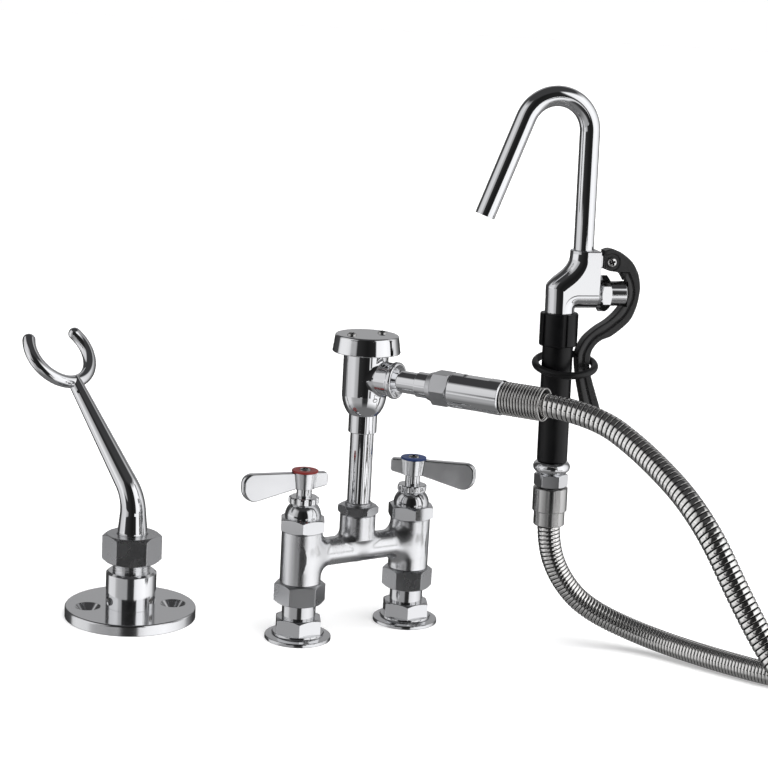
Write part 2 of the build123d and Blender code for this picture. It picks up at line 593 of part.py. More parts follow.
spring_profile = [(3.6, -0.6), (5.4, -0.6)]
for k in range(3):
    spring_profile.append((6.0, -0.6 + 1.6 * k + 0.8, 5.4, -0.6 + 1.6 * (k + 1)))
spring_profile.append((3.6, 4.2))
with BuildPart() as valve_spring:
    lathe(valve, *spring_profile)
valve_spring.part.label = "valve_spring"
export_step(valve_spring.part, "parts/valve_spring.step")

# ---------------------------------------------------------------- squeeze lever
outer_edge = [
    (34.6, 217.2), (39.4, 218.4), (45.5, 216.9), (51.5, 213.3), (57.4, 208.0), (62.1, 200.0), (64.3, 191.0), (64.2, 183.8),
    (62.5, 174.2), (57.4, 162.7), (44.6, 151.6), (34.6, 147.0), (28.8, 140.4), (27.2, 133.0), (27.3, 126.0), (29.2, 118.0), (33.6, 105.0), (38.4, 91.0), (40.6, 83.5),
]
inner_edge = [
    (29.0, 81.0), (25.6, 90.0), (21.6, 105.0), (18.4, 119.6), (17.0, 129.5), (17.0, 136.7), (18.6, 142.2), (23.0, 149.6), (31.4, 157.0),
    (40.6, 163.0), (48.6, 171.0), (54.0, 180.0), (54.6, 186.0), (52.2, 194.2), (47.7, 199.8), (39.5, 201.4), (34.6, 203.0),
]
outer_edge = [(a + lever_shift, b) for a, b in outer_edge]
inner_edge = [(a + lever_shift, b) for a, b in inner_edge]
rib_edge = [(0.52 * a[0] + 0.48 * b[0] + lever_shift, 0.52 * a[1] + 0.48 * b[1]) for a, b in (
    ((38.4, 91.0), (25.6, 90.0)), ((33.6, 105.0), (21.6, 105.0)), ((29.2, 118.0), (18.4, 119.6)), ((27.2, 129.5), (17.0, 129.5)),
    ((28.4, 139.4), (17.0, 136.7)), ((34.6, 147.0), (23.0, 149.6)), ((44.6, 151.6), (31.4, 157.0)), ((57.4, 162.7), (48.6, 171.0)),
    ((62.5, 174.2), (54.4, 180.0)), ((64.2, 183.8), (55.2, 186.0)), ((64.3, 191.0), (52.2, 194.2)),
)]
with BuildPart() as squeeze_lever:
    with BuildSketch(nozzle_side_plane) as core:
        with BuildLine():
            Spline(*outer_edge)
            Spline(outer_edge[-1], (35.5 + lever_shift, 80.2), inner_edge[0])
            Spline(*inner_edge)
            Line(inner_edge[-1], outer_edge[0])
        make_face()
    extrude(amount=6.0, both=True)
    for near in (4.6, -9.6):
        with BuildSketch(Plane(origin=nozzle_side_plane.origin + nozzle_side_plane.z_dir * near, x_dir=nozzle_side_plane.x_dir, z_dir=nozzle_side_plane.z_dir)) as recess:
            with BuildLine():
                Spline((36.0 + lever_shift, 76.0), *rib_edge)
                Polyline(rib_edge[-1], (47.5 + lever_shift, 196.2), (6, 196.2), (6, 76.0), (36.0 + lever_shift, 76.0))
            make_face()
        extrude(recess.sketch, amount=5.0, mode=Mode.SUBTRACT)
    lathe(pivot, (0, -2.8), (6.0, -2.8), (6.0, 2.8), (0, 2.8), mode=Mode.SUBTRACT)
    with BuildSketch(nozzle_side_plane) as slot:
        Polygon((24, pivot_z - 6.0), (pivot_x, pivot_z - 6.0), (pivot_x, pivot_z + 6.0), (24, pivot_z + 6.0), align=None)
    extrude(slot.sketch, amount=2.8, both=True, mode=Mode.SUBTRACT)
    lathe(valve, (0, 39), (11.0, 39), (11.0, 52.1), (0, 52.1), mode=Mode.SUBTRACT)
    lathe(pivot, (0, -9), (2.07, -9), (2.07, 9), (0, 9), mode=Mode.SUBTRACT)
squeeze_lever.part.label = "squeeze_lever"
export_step(squeeze_lever.part, "parts/squeeze_lever.step")

with BuildPart() as lever_screw:
    lathe(
        pivot,
        (0, 8.0), (3.1, 8.0), (3.5, 7.6), (3.5, 6.3), (2.0, 6.3), (2.0, -6.3), (3.5, -6.3), (3.5, -6.9), dome(3.5, -6.9, -8.2),
    )
lever_screw.part.label = "lever_screw"
export_step(lever_screw.part, "parts/lever_screw.step")

ring_centre = nozzle.from_local_coords(Vector(6.5, 0, 128.0))
ring_axis = nozzle.z_dir - nozzle.x_dir * tan(radians(2)) - nozzle.y_dir * tan(radians(12))
ring_plane = Plane(origin=ring_centre, z_dir=ring_axis)
with BuildPart() as hold_down_ring:
    with BuildSketch(side_plane(ring_plane)) as bar:
        with Locations((ring_bend_r, 0)):
            Circle(ring_bar_r)
    revolve(bar.sketch, axis=Axis(ring_plane.origin, ring_plane.z_dir))
hold_down_ring.part.label = "hold_down_ring"
export_step(hold_down_ring.part, "parts/hold_down_ring.step")

# ---------------------------------------------------------------- post with fork
post = Plane(origin=(holder_x, holder_y, 0))
with BuildPart() as holder_flange:
    lathe(
        post,
        (0, 0), (holder_flange_r, 0), (holder_flange_r, holder_flange_t - 1.5),
        (holder_flange_r - 0.44, holder_flange_t - 0.44, holder_flange_r - 1.5, holder_flange_t), (14, holder_flange_t), (14, 22), (0, 22),
    )
    for turn in (0, 180):
        a = radians(holder_bolt_deg + turn)
        lathe(
            Plane(origin=(holder_x + holder_bolt_r * cos(a), holder_y + holder_bolt_r * sin(a), 0)),
            (0, -1), (4.5, -1), (4.5, 2.9), (10.3, holder_flange_t), (10.9, holder_flange_t + 0.6), (0, holder_flange_t + 0.6),
            mode=Mode.SUBTRACT,
        )
holder_flange.part.label = "holder_flange"
export_step(holder_flange.part, "parts/holder_flange.step")

screw_planes = [
    Plane(origin=(holder_x, holder_y, 16.0), x_dir=(0, 0, 1), z_dir=(cos(radians(a)), sin(radians(a)), 0)) for a in (178, 298, 58)
]
with BuildPart() as holder_body:
    lathe(
        post,
        (14.05, holder_flange_t), (post_r, holder_flange_t), (post_r, post_top - 1.8), (post_r - 1.8, post_top), (15, post_top),
        (15, 38.6), (14.35, 39.1), (14.35, 39.5), (15, 40.0), (15, 40.6), (14.35, 41.1), (14.35, 41.5), (15, 42.0),
        (15, 42.6), (14.35, 43.1), (14.35, 43.5), (15, 44.0), (15, 58), (8.05, 58), (8.05, 43.5), (0, 43.5), (0, 22.4), (14.05, 22.4),
    )
    for p in screw_planes:
        lathe(p, (0, 13), (2.6, 13), (2.6, 21), (0, 21), mode=Mode.SUBTRACT)
holder_body.part.label = "holder_body"
export_step(holder_body.part, "parts/holder_body.step")

with BuildPart() as holder_set_screws:
    for p in screw_planes:
        lathe(p, (0, 14.1), (2.1, 14.1), (2.5, 14.6), (2.5, 18.6), (2.2, 19.0), (1.25, 19.0), (1.25, 16.6), (0, 16.6))
holder_set_screws.part.label = "holder_set_screws"
export_step(holder_set_screws.part, "parts/holder_set_screws.step")

post_hex = hex_prism(post, holder_nut_af, holder_nut_z0, holder_nut_z1, 273)
with BuildPart() as holder_nut:
    add(post_hex)
    lathe(post, (0, 45), (15.1, 45), (15.1, 62), (12.4, 62), (12.4, 69), (0, 69), mode=Mode.SUBTRACT)
holder_nut.part.label = "holder_nut"
export_step(holder_nut.part, "parts/holder_nut.step")

out = Vector(cos(radians(arm_deg)), sin(radians(arm_deg)), 0)
up = Vector(0, 0, 1)
foot = Vector(holder_x, holder_y, 0)
saddle = foot + out * arm_reach + up * arm_top_z
arm_dir = (saddle - (foot + up * arm_bend_z)).normalized()
across = up.cross(out).normalized()
fork_plane = Plane(origin=saddle, x_dir=across, z_dir=across.cross(arm_dir))
fork_tip_x = fork_bend_r * sin(radians(fork_half_deg))
fork_tip_y = fork_bend_r * (1 - cos(radians(fork_half_deg)))
with BuildPart() as fork:
    with BuildLine(fork_plane) as fork_line:
        ThreePointArc((-fork_tip_x, fork_tip_y), (0, 0), (fork_tip_x, fork_tip_y))
    with BuildSketch(
        Plane(
            origin=fork_plane.from_local_coords(Vector(-fork_tip_x, fork_tip_y, 0)),
            z_dir=across * cos(radians(fork_half_deg)) - arm_dir * sin(radians(fork_half_deg)),
        )
    ):
        Circle(fork_bar_r)
    sweep(path=fork_line.wire())
    with Locations(fork_plane.from_local_coords(Vector(-fork_tip_x, fork_tip_y, 0)), fork_plane.from_local_coords(Vector(fork_tip_x, fork_tip_y, 0))):
        Sphere(fork_bar_r)
fork.part.label = "fork"
export_step(fork.part, "parts/fork.step")

bend_half = acos(arm_dir.Z) / 2
bend_leg = 13.0
bend_big = bend_leg / tan(bend_half)
bend_centre = foot + up * (arm_bend_z - bend_leg) + out * bend_big
sections = [(foot + up * z, up, r) for z, r in ((69.2, 11.9), (arm_bend_z - bend_leg, 10.3))]
for k in range(1, 11):
    a = 2 * bend_half * k / 10
    sections.append((bend_centre - out * bend_big * cos(a) + up * bend_big * sin(a), up * cos(a) + out * sin(a), 10.3 - 0.15 * k))
sections.append((saddle, arm_dir, 5.5))
with BuildPart() as holder_arm:
    for at, direction, r in sections:
        with BuildSketch(Plane(origin=at, x_dir=across, z_dir=direction)):
            Circle(r)
    loft(ruled=True)
    lathe(post, (0, 44), (8, 44), (8, 58.4), (14.4, 58.4), (14.4, 61.6), (12, 61.6), (12, 68.6), (11.9, 69.2), (0, 69.2))
    add(fork.part, mode=Mode.SUBTRACT)
holder_arm.part.label = "holder_arm"
export_step(holder_arm.part, "parts/holder_arm.step")

section = pi * hose_r**2
print("hose upper bends", upper_radii, "length", round(upper_length, 1), "volume", round(hose_upper_run.part.volume), "section x length", round(section * upper_length))
print("hose lower bends", lower_radii, "length", round(lower_length, 1), "volume", round(hose_lower_run.part.volume), "section x length", round(section * lower_length))
print("coil bend", coil_r, "hose total", round(upper_length + lower_length + radians(584) * coil_r))
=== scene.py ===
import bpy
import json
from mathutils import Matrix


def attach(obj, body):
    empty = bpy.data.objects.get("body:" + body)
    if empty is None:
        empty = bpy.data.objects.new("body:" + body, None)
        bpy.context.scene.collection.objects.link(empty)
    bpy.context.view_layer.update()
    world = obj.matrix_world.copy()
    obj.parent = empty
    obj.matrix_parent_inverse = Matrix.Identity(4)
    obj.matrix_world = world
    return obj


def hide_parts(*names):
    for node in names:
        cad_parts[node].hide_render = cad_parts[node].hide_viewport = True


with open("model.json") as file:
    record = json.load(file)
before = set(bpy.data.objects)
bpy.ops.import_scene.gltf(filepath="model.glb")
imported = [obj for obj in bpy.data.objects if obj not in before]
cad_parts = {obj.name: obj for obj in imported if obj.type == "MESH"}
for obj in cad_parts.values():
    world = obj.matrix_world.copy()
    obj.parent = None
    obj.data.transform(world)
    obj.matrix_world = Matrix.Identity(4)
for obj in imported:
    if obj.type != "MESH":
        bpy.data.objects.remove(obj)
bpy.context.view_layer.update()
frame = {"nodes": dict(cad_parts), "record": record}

import json
import math

import bpy
import numpy as np
from mathutils import Matrix, Vector

nodes = frame["nodes"]
scene = bpy.context.scene
MM = 0.001


# ---------------------------------------------------------------- camera
AZ, EL, ROLL = math.radians(34.16), math.radians(11.29), math.radians(3.13)
right = Vector((math.cos(AZ), -math.sin(AZ), 0))
away = Vector((math.sin(AZ), math.cos(AZ), 0))
fwd = math.cos(EL) * away - math.sin(EL) * Vector((0, 0, 1))
up = right.cross(fwd)
cam_x = math.cos(ROLL) * right + math.sin(ROLL) * up
cam_y = -math.sin(ROLL) * right + math.cos(ROLL) * up
cam_data = bpy.data.cameras.new("camera")
cam_data.sensor_fit = "HORIZONTAL"
cam_data.sensor_width = 36
cam_data.lens = 36 * 1838 / 768
cam_data.clip_start, cam_data.clip_end = 0.05, 200
camera = bpy.data.objects.new("camera", cam_data)
scene.collection.objects.link(camera)
rot = Matrix((cam_x, cam_y, -fwd)).transposed().to_4x4()
camera.matrix_world = Matrix.Translation(Vector((-776.0, -1170.3, 480.6)) * MM) @ rot
scene.camera = camera


# ---------------------------------------------------------------- mesh helpers
def new_object(name, verts, faces, mat=None, smooth=True):
    me = bpy.data.meshes.new(name)
    me.from_pydata([tuple(v) for v in verts], [], faces)
    me.validate()
    if smooth:
        me.polygons.foreach_set("use_smooth", [True] * len(me.polygons))
    me.update()
    ob = bpy.data.objects.new(name, me)
    scene.collection.objects.link(ob)
    if mat:
        me.materials.append(mat)
    return ob


def sharp_by_angle(ob, degrees):
    ob.data.set_sharp_from_angle(angle=math.radians(degrees))
    return ob


def lathe_mesh(name, profile, place, around, mat):
    """Turned piece: closed (r, z) outline, place(r, a, z) gives the point."""
    n = len(profile)
    verts, faces = [], []
    for r, z in profile:
        for j in range(around):
            verts.append(place(r, 2 * math.pi * j / around, z))
    for k in range(n):
        k2 = (k + 1) % n
        for j in range(around):
            j2 = (j + 1) % around
            faces.append((k * around + j, k * around + j2, k2 * around + j2, k2 * around + j))
    return sharp_by_angle(new_object(name, verts, faces, mat), 32)


# distance fields in millimetres, meshed on a grid
def capped(r, z, radius, z0, z1, edge):
    """Cylinder with rounded rims."""
    a = r - radius + edge
    b = np.abs(z - (z0 + z1) / 2) - (z1 - z0) / 2 + edge
    return np.minimum(np.maximum(a, b), 0) + np.hypot(np.maximum(a, 0), np.maximum(b, 0)) - edge


def join(a, b, radius):
    """Union with a fillet."""
    return np.maximum(radius, np.minimum(a, b)) - np.hypot(np.maximum(radius - a, 0), np.maximum(radius - b, 0))


def meet(a, b, radius):
    """Intersection with a rounded edge."""
    return np.minimum(-radius, np.maximum(a, b)) + np.hypot(np.maximum(radius + a, 0), np.maximum(radius + b, 0))


def smooth_points(points, per=6, closed=False):
    """Rounded line through points."""
    P = [np.array(p, float) for p in points]
    n = len(P)
    out = []
    for i in range(n if closed else n - 1):
        p0 = P[(i - 1) % n] if closed or i > 0 else 2 * P[0] - P[1]
        p1, p2 = P[i], P[(i + 1) % n]
        p3 = P[(i + 2) % n] if closed or i + 2 < n else 2 * P[-1] - P[-2]
        for k in range(per):
            t = k / per
            out.append(0.5 * (2 * p1 + (p2 - p0) * t + (2 * p0 - 5 * p1 + 4 * p2 - p3) * t * t + (3 * p1 - p0 - 3 * p2 + p3) * t ** 3))
    if not closed:
        out.append(P[-1])
    return out


def outline(points):
    """Signed distance to a closed outline, negative inside."""
    A = np.array(points, float)
    B = np.roll(A, -1, axis=0)

    def dist(x, z):
        x, z = np.broadcast_arrays(np.asarray(x, float), np.asarray(z, float))
        shape = x.shape
        px, pz = x.ravel(), z.ravel()
        best = np.full(px.shape, 1e9)
        inside = np.zeros(px.shape, bool)
        for (ax, az), (bx, bz) in zip(A, B):
            ex, ez = bx - ax, bz - az
            wx, wz = px - ax, pz - az
            t = np.clip((wx * ex + wz * ez) / max(ex * ex + ez * ez, 1e-12), 0, 1)
            best = np.minimum(best, (wx - t * ex) ** 2 + (wz - t * ez) ** 2)
            if az != bz:
                up_cross = (az <= pz) != (bz <= pz)
                inside ^= up_cross & (px < ax + (pz - az) / (bz - az) * ex)
        d = np.sqrt(best)
        return np.where(inside, -d, d).reshape(shape)

    return dist


def field_mesh(name, field, lo, hi, cell, place, mat):
    """Closed smooth mesh of field < 0; place turns (n, 3) millimetre points into world points."""
    lo = np.array(lo, float)
    axes = [np.arange(lo[i], hi[i] + cell, cell) for i in range(3)]
    x, y, z = np.meshgrid(*axes, indexing="ij", sparse=True)
    v = np.array(np.broadcast_to(field(x, y, z), [len(a) for a in axes]))
    neg = v < 0
    cells = tuple(s - 1 for s in v.shape)
    acc, cnt = np.zeros(cells + (3,)), np.zeros(cells)
    found = []
    for ax in range(3):
        s0, s1 = [slice(None)] * 3, [slice(None)] * 3
        s0[ax], s1[ax] = slice(None, -1), slice(1, None)
        s0, s1 = tuple(s0), tuple(s1)
        cross = neg[s0] != neg[s1]
        where = np.argwhere(cross)
        va, vb = v[s0][cross], v[s1][cross]
        p = where.astype(float)
        p[:, ax] += va / (va - vb)
        corners = []
        for d1, d2 in ((0, 0), (-1, 0), (-1, -1), (0, -1)):
            c = where.copy()
            c[:, (ax + 1) % 3] += d1
            c[:, (ax + 2) % 3] += d2
            np.add.at(acc, tuple(c.T), p)
            np.add.at(cnt, tuple(c.T), 1)
            corners.append(c)
        found.append((corners, va < 0))
    used = cnt > 0
    index = np.full(cells, -1)
    index[used] = np.arange(int(used.sum()))
    pts = lo + acc[used] / cnt[used][:, None] * cell
    faces = []
    for corners, low_in in found:
        q = np.stack([index[tuple(c.T)] for c in corners], axis=1)
        faces.append(np.where(low_in[:, None], q, q[:, ::-1]))
    faces = np.concatenate(faces)

    def at(p):
        return field(p[:, 0], p[:, 1], p[:, 2])

    def slope(p, h):
        g = np.empty_like(p)
        for i in range(3):
            e = np.zeros(3)
            e[i] = h
            g[:, i] = (at(p + e) - at(p - e)) / (2 * h)
        return g

    for _ in range(3):
        g = slope(pts, 0.02)
        step = (at(pts) / np.maximum((g * g).sum(1), 0.2))[:, None] * g
        size = np.linalg.norm(step, axis=1, keepdims=True)
        pts = pts - step * np.minimum(1.0, 0.6 * cell / np.maximum(size, 1e-9))
    g = slope(pts, 0.05)
    tip = place(pts + g)
    pts = place(pts)
    normal = tip - pts
    normal /= np.maximum(np.linalg.norm(normal, axis=1, keepdims=True), 1e-12)
    me = bpy.data.meshes.new(name)
    me.from_pydata(pts.tolist(), [], faces.tolist())
    me.polygons.foreach_set("use_smooth", [True] * len(me.polygons))
    me.normals_split_custom_set_from_vertices(normal.tolist())
    me.update()
    ob = bpy.data.objects.new(name, me)
    scene.collection.objects.link(ob)
    me.materials.append(mat)
    return ob


def world_place(p):
    return p * MM


NOZ = np.array((121.03, -89.28, 96.52))
NOZ_Z = np.array((-0.01733, 0.01176, 0.99978))
NOZ_Z /= np.linalg.norm(NOZ_Z)
NOZ_X = np.array((0.9258, -0.3769, 0.0205))
NOZ_X -= NOZ_Z * NOZ_X.dot(NOZ_Z)
NOZ_X /= np.linalg.norm(NOZ_X)
NOZ_Y = np.cross(NOZ_Z, NOZ_X)


def nozzle_place(p):
    return (NOZ + p[:, :1] * NOZ_X + p[:, 1:2] * NOZ_Y + p[:, 2:3] * NOZ_Z) * MM


def arc_table(points):
    s = [0.0]
    for a, b in zip(points, points[1:]):
        s.append(s[-1] + (b - a).length)
    return s


def at_length(points, s, d):
    """Point at distance d along a polyline, with s its running lengths."""
    import bisect
    d = min(max(d, 0.0), s[-1])
    i = min(max(bisect.bisect_right(s, d) - 1, 0), len(s) - 2)
    t = (d - s[i]) / (s[i + 1] - s[i])
    return points[i].lerp(points[i + 1], t)


def carried_frames(points):
    """Cross directions along a line, turned as little as possible from point to point."""
    tang = []
    n = len(points)
    for i in range(n):
        a, b = points[max(i - 1, 0)], points[min(i + 1, n - 1)]
        tang.append((b - a).normalized())
    ref = Vector((0, 0, 1)) if abs(tang[0].z) < 0.9 else Vector((1, 0, 0))
    u = (ref - tang[0] * ref.dot(tang[0])).normalized()
    out = []
    for t in tang:
        u = (u - t * u.dot(t)).normalized()
        out.append((t, u.copy(), t.cross(u)))
    return out


def nurbs_points(name, points, resolution=24):
    """A smooth NURBS line over control points, read back as a list of points."""
    cu = bpy.data.curves.new(name, "CURVE")
    cu.dimensions = "3D"
    sp = cu.splines.new("NURBS")
    sp.points.add(len(points) - 1)
    for p, q in zip(sp.points, points):
        p.co = (q[0], q[1], q[2], 1)
    sp.order_u = 3
    sp.use_endpoint_u = True
    cu.resolution_u = resolution
    ob = bpy.data.objects.new(name, cu)
    scene.collection.objects.link(ob)
    bpy.context.view_layer.update()
    me = bpy.data.meshes.new_from_object(ob)
    line = [v.co.copy() for v in me.vertices]
    bpy.data.objects.remove(ob)
    bpy.data.curves.remove(cu)
    bpy.data.meshes.remove(me)
    return line


# ---------------------------------------------------------------- node helpers
def make_mat(name):
    m = bpy.data.materials.new(name)
    m.use_nodes = True
    nt = m.node_tree
    nt.nodes.clear()
    out = nt.nodes.new("ShaderNodeOutputMaterial")
    bsdf = nt.nodes.new("ShaderNodeBsdfPrincipled")
    nt.links.new(bsdf.outputs["BSDF"], out.inputs["Surface"])
    return m, nt, bsdf


def node(nt, kind, **values):
    n = nt.nodes.new(kind)
    for k, v in values.items():
        if k.startswith("in_"):
            key = k[3:]
            n.inputs[int(key) if key.isdigit() else key.replace("_", " ")].default_value = v
        else:
            setattr(n, k, v)
    return n


def noise(nt, scale, detail=3.0, rough=0.55, vector=None):
    n = node(nt, "ShaderNodeTexNoise", in_Scale=scale, in_Detail=detail, in_Roughness=rough)
    if vector is not None:
        nt.links.new(vector, n.inputs["Vector"])
    return n.outputs["Fac"]


def remap(nt, value, lo, hi, to_lo, to_hi):
    n = node(nt, "ShaderNodeMapRange")
    nt.links.new(value, n.inputs["Value"])
    n.inputs["From Min"].default_value = lo
    n.inputs["From Max"].default_value = hi
    n.inputs["To Min"].default_value = to_lo
    n.inputs["To Max"].default_value = to_hi
    return n.outputs["Result"]


def ramp(nt, value, stops):
    n = node(nt, "ShaderNodeValToRGB")
    els = n.color_ramp.elements
    while len(els) < len(stops):
        els.new(0.5)
    for e, (p, c) in zip(els, stops):
        e.position = p
        e.color = (*c, 1) if len(c) == 3 else c
    nt.links.new(value, n.inputs["Fac"])
    return n.outputs["Color"]


def object_coords(nt):
    return nt.nodes.new("ShaderNodeTexCoord").outputs["Object"]


def bump(nt, height, strength, distance, normal=None):
    n = node(nt, "ShaderNodeBump", in_Strength=strength, in_Distance=distance)
    nt.links.new(height, n.inputs["Height"])
    if normal is not None:
        nt.links.new(normal, n.inputs["Normal"])
    return n.outputs["Normal"]


def soft_edges(nt, radius):
    n = node(nt, "ShaderNodeBevel", in_Radius=radius)
    n.samples = 6
    return n.outputs["Normal"]


def metal(name, colour, rough, rough_var, edge=0.0004, ripple=0.0, grain=0.0):
    m, nt, b = make_mat(name)
    b.inputs["Metallic"].default_value = 1.0
    b.inputs["Base Color"].default_value = (*colour, 1)
    co = object_coords(nt)
    smear = noise(nt, 28.0, 4.0, 0.6, co)
    nt.links.new(remap(nt, smear, 0.35, 0.7, rough, rough + rough_var), b.inputs["Roughness"])
    normal = soft_edges(nt, edge) if edge else None
    if ripple:
        normal = bump(nt, noise(nt, 70.0, 2.0, 0.5, co), ripple, 0.0006, normal)
    if grain:
        normal = bump(nt, noise(nt, 1400.0, 2.0, 0.6, co), grain, 0.0002, normal)
    if normal is not None:
        nt.links.new(normal, b.inputs["Normal"])
    return m


def moulded(name, dark, light, rough, rough_var, grain_scale, grain, edge=0.0005, spec=0.5):
    m, nt, b = make_mat(name)
    co = object_coords(nt)
    tint = noise(nt, 45.0, 4.0, 0.6, co)
    nt.links.new(ramp(nt, tint, [(0.3, dark), (0.75, light)]), b.inputs["Base Color"])
    nt.links.new(remap(nt, noise(nt, 90.0, 3.0, 0.6, co), 0.3, 0.7, rough, rough + rough_var), b.inputs["Roughness"])
    b.inputs["Specular IOR Level"].default_value = spec
    normal = soft_edges(nt, edge) if edge else None
    normal = bump(nt, noise(nt, grain_scale, 3.0, 0.65, co), grain, 0.0003, normal)
    nt.links.new(normal, b.inputs["Normal"])
    return m


cast_chrome = metal("chrome_cast", (0.86, 0.865, 0.875), 0.015, 0.035, 0.0, ripple=0.010)
mats = {
    "chrome": metal("chrome", (0.86, 0.865, 0.875), 0.015, 0.035, 0.0005, ripple=0.010),
    "hose_steel": metal("hose_steel", (0.62, 0.61, 0.60), 0.17, 0.12, 0.0),
    "screw_steel": metal("screw_steel", (0.66, 0.65, 0.63), 0.16, 0.12, 0.0003),
    "brass": metal("brass", (0.72, 0.50, 0.22), 0.2, 0.15, 0.0003),
    "seal_rubber": moulded("seal_rubber", (0.012, 0.012, 0.012), (0.03, 0.03, 0.03), 0.6, 0.15, 500, 0.2),
    "grip_rubber": moulded("grip_rubber", (0.002, 0.002, 0.0025), (0.005, 0.005, 0.0055), 0.28, 0.10, 900, 0.06, 0.0008, 0.30),
    "lever_black": moulded("lever_black", (0.009, 0.009, 0.0092), (0.018, 0.018, 0.0182), 0.25, 0.10, 1100, 0.08, 0.0, 0.58),
    "ring_black": moulded("ring_black", (0.003, 0.003, 0.0033), (0.007, 0.007, 0.0074), 0.28, 0.12, 700, 0.08, 0.0, 0.34),
    "index_red": moulded("index_red", (0.15, 0.012, 0.010), (0.23, 0.022, 0.018), 0.28, 0.12, 500, 0.06, 0.0003),
    "index_blue": moulded("index_blue", (0.008, 0.026, 0.10), (0.015, 0.042, 0.16), 0.28, 0.12, 500, 0.06, 0.0003),
    "float_plastic": moulded("float_plastic", (0.55, 0.55, 0.52), (0.70, 0.70, 0.67), 0.35, 0.12, 500, 0.05, 0.0003),
}
guard_steel = metal("guard_steel", (0.80, 0.79, 0.77), 0.07, 0.08, 0.0)
satin_chrome = metal("chrome_satin", (0.86, 0.865, 0.875), 0.20, 0.10, 0.0, ripple=0.008)
flange_chrome = metal("chrome_flange", (0.84, 0.845, 0.855), 0.10, 0.08, 0.0006, ripple=0.010)
post_chrome = metal("chrome_post", (0.86, 0.865, 0.875), 0.05, 0.06, 0.0005, ripple=0.010)
turned_chrome = metal("chrome_turned", (0.75, 0.755, 0.765), 0.05, 0.06, 0.0005, ripple=0.014)
lever_chrome = metal("chrome_lever", (0.86, 0.865, 0.875), 0.15, 0.12, 0.0, ripple=0.012)
nut_chrome = metal("chrome_nut", (0.64, 0.645, 0.655), 0.25, 0.09, 0.0006, ripple=0.010, grain=0.02)
ferrule_steel = metal("ferrule_steel", (0.58, 0.575, 0.565), 0.17, 0.10, 0.0006, grain=0.02)
special = {"coupling_nut_hot": nut_chrome, "coupling_nut_cold": nut_chrome, "holder_nut": nut_chrome, "outlet_nut": nut_chrome, "hose_union_nut": nut_chrome, "hose_ferrule": ferrule_steel,
           "holder_flange": flange_chrome, "holder_body": post_chrome, "bonnet_hot": turned_chrome, "bonnet_cold": turned_chrome,
           "flanged_inlet_hot": turned_chrome, "flanged_inlet_cold": turned_chrome}
slot_of = {}
for entry in frame["record"]["subparts"]:
    slot_of[entry["node"]] = entry["material_slot"]
for name, ob in nodes.items():
    slot = slot_of.get(name, "chrome")
    ob.data.materials.clear()
    ob.data.materials.append(special.get(name, mats[slot]))


# ---------------------------------------------------------------- hose
route = [
    (66.05, -130.20, 206.1), (86.4, -170.3, 206.1), (99.9, -217.0, 185.0), (99.6, -279.4, 154.9),
    (111.8, -318.2, 94.6), (120.9, -345.9, 59.5), (124.0, -383.5, 36.9), (120.94, -404.88, 27.4),
]
COIL_C, COIL_R, COIL_A, STEPS = (222.9, -419.5), 104.9, 171.84, 26
for i in range(1, STEPS):
    turn = 584.0 * i / STEPS
    a = math.radians(COIL_A + turn)
    drop = min(max((turn - 224) / 136, 0), 1)
    drop = drop * drop * (3 - 2 * drop)
    route.append((COIL_C[0] + COIL_R * math.cos(a), COIL_C[1] + COIL_R * math.sin(a), 27.4 - 18.45 * drop))
route += [
    (306.4, -359.2, 8.95), (271.3, -310.6, 8.95), (223.2, -257.5, 8.95), (202.4, -202.2, 8.95),
    (182.8, -146.4, 12.0), (148.3, -111.4, 29.3), (130.9, -96.7, 51.9), (121.31, -89.47, 80.52),
    (120.94, -89.22, 101.7),
]
hose_line = nurbs_points("hose_line", [Vector(p) * MM for p in route], 32)
hose_s = arc_table(hose_line)
HOSE_L = hose_s[-1]


